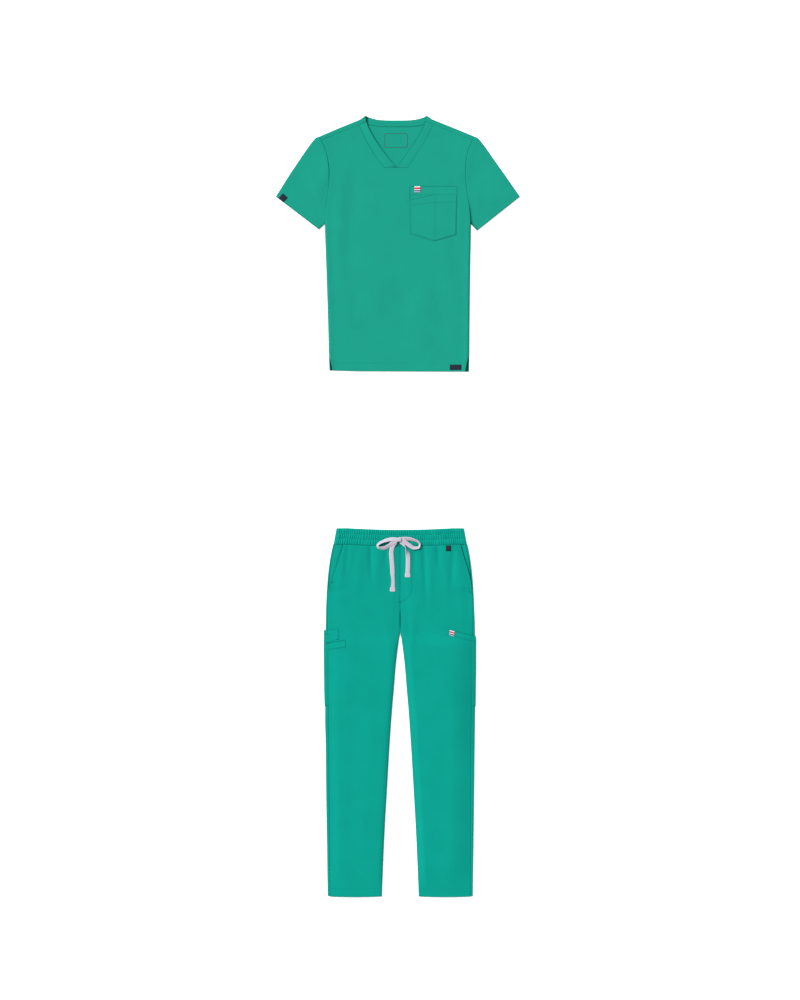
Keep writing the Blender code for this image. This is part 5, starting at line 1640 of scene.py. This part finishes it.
cargo_left = side_patch("trouser_cargo_left", 1, CARGO[1], "cargo_pocket_left", True)
cargo_right = side_patch("trouser_cargo_right", -1, CARGO[-1], "cargo_pocket_right", True)
PEN_WRINKLES = (
    (0.190, 0.298, 0.020, 0.0035, 60, 0.0012),
    (0.196, 0.306, 0.018, 0.0030, 50, -0.0010),
    (0.186, 0.309, 0.016, 0.0028, 70, 0.0009),
)
pen = side_patch("trouser_pen_patch", -1, PEN_POCKET, "pen_pocket", False, PEN_WRINKLES)


def welt_row(side, table, down, start=0.03, end=0.95):
    """A row of stitches across a welt at a share of its depth."""
    share = np.linspace(start, end, 40)
    ends = []
    for inner, inner_drop, outer_drop, bulge in table[:2]:
        start = np.array((inner, inner_drop))
        end = np.array((float(along(LEG, outer_drop)[0]) + bulge, outer_drop))
        ends.append(start + share[:, None] * (end - start))
    x, drop = (ends[0] + (ends[1] - ends[0]) * down).T
    z = leg_top(x, drop, side) + ON_CLOTH + WELT_LIFT + PATCH_WALL / 2
    return trouser_place(side * x, drop, z)


side_rows = [
    welt_row(1, CARGO[1], 0.12),
    welt_row(1, CARGO[1], 0.88),
    welt_row(-1, CARGO[-1], 0.10),
    welt_row(-1, CARGO[-1], 0.90),
    welt_row(-1, PEN_POCKET, 0.33),
]
stitched("trouser_side_stitching", side_rows, TEAL_SEWING, "trouser_cloth", thick=0.0004)


def cargo_face(x, drop):
    """Places on the left cargo pocket's welt."""
    return trouser_place(x, drop, leg_z(x, drop, 1) + ON_CLOTH + WELT_LIFT + PATCH_WALL / 2)


label(
    "trouser_cargo_stripe",
    ((0.1402, 0.2862), (0.1543, 0.2902), (0.1525, 0.3040), (0.1382, 0.3000)),
    STRIPED_LABEL,
    "cargo_tab",
    "tab",
    cargo_face,
)
label(
    "trouser_waist_patch",
    upright(0.1290, 0.1432, 0.0478, 0.0632),
    NAVY_LABEL,
    "waist_tag",
    "label",
    on_leg,
)

# ---- Floor and light ------------------------------------------------------------------------
# A plain white table lit from within, one broad distant light from the upper left, and an even
# white surround.
FLOOR_HALF = 6
FLOOR_Z = -0.0006
floor_corners = [(x * FLOOR_HALF, y * FLOOR_HALF, FLOOR_Z) for x, y in ((-1, -1), (1, -1), (1, 1), (-1, 1))]
floor_mesh = bpy.data.meshes.new("floor")
floor_mesh.from_pydata(floor_corners, [], [(0, 1, 2, 3)])
floor = bpy.data.objects.new("floor", floor_mesh)
bpy.context.scene.collection.objects.link(floor)
floor_material = bpy.data.materials.new("floor")
_, _, floor_shader = nodes_of(floor_material)
surface(floor_shader, 1.0, 0.0, (0.93, 0.93, 0.93))
floor_shader.inputs["Emission Color"].default_value = (1.0, 1.0, 1.0, 1.0)
floor_shader.inputs["Emission Strength"].default_value = 0.45
floor.data.materials.append(floor_material)

world = bpy.data.worlds.new("surround")
world.use_nodes = True
world.node_tree.nodes["Background"].inputs["Color"].default_value = (1.0, 1.0, 1.0, 1.0)
world.node_tree.nodes["Background"].inputs["Strength"].default_value = 0.52
bpy.context.scene.world = world
bpy.context.scene.view_settings.view_transform = "Standard"

lamp_data = bpy.data.lights.new("window", "SUN")
lamp_data.energy = 3.6
lamp_data.angle = radians(16)
lamp = bpy.data.objects.new("window", lamp_data)
lamp.rotation_euler = Vector((-1.05, 0.80, 1.32)).to_track_quat("Z", "Y").to_euler()
bpy.context.scene.collection.objects.link(lamp)
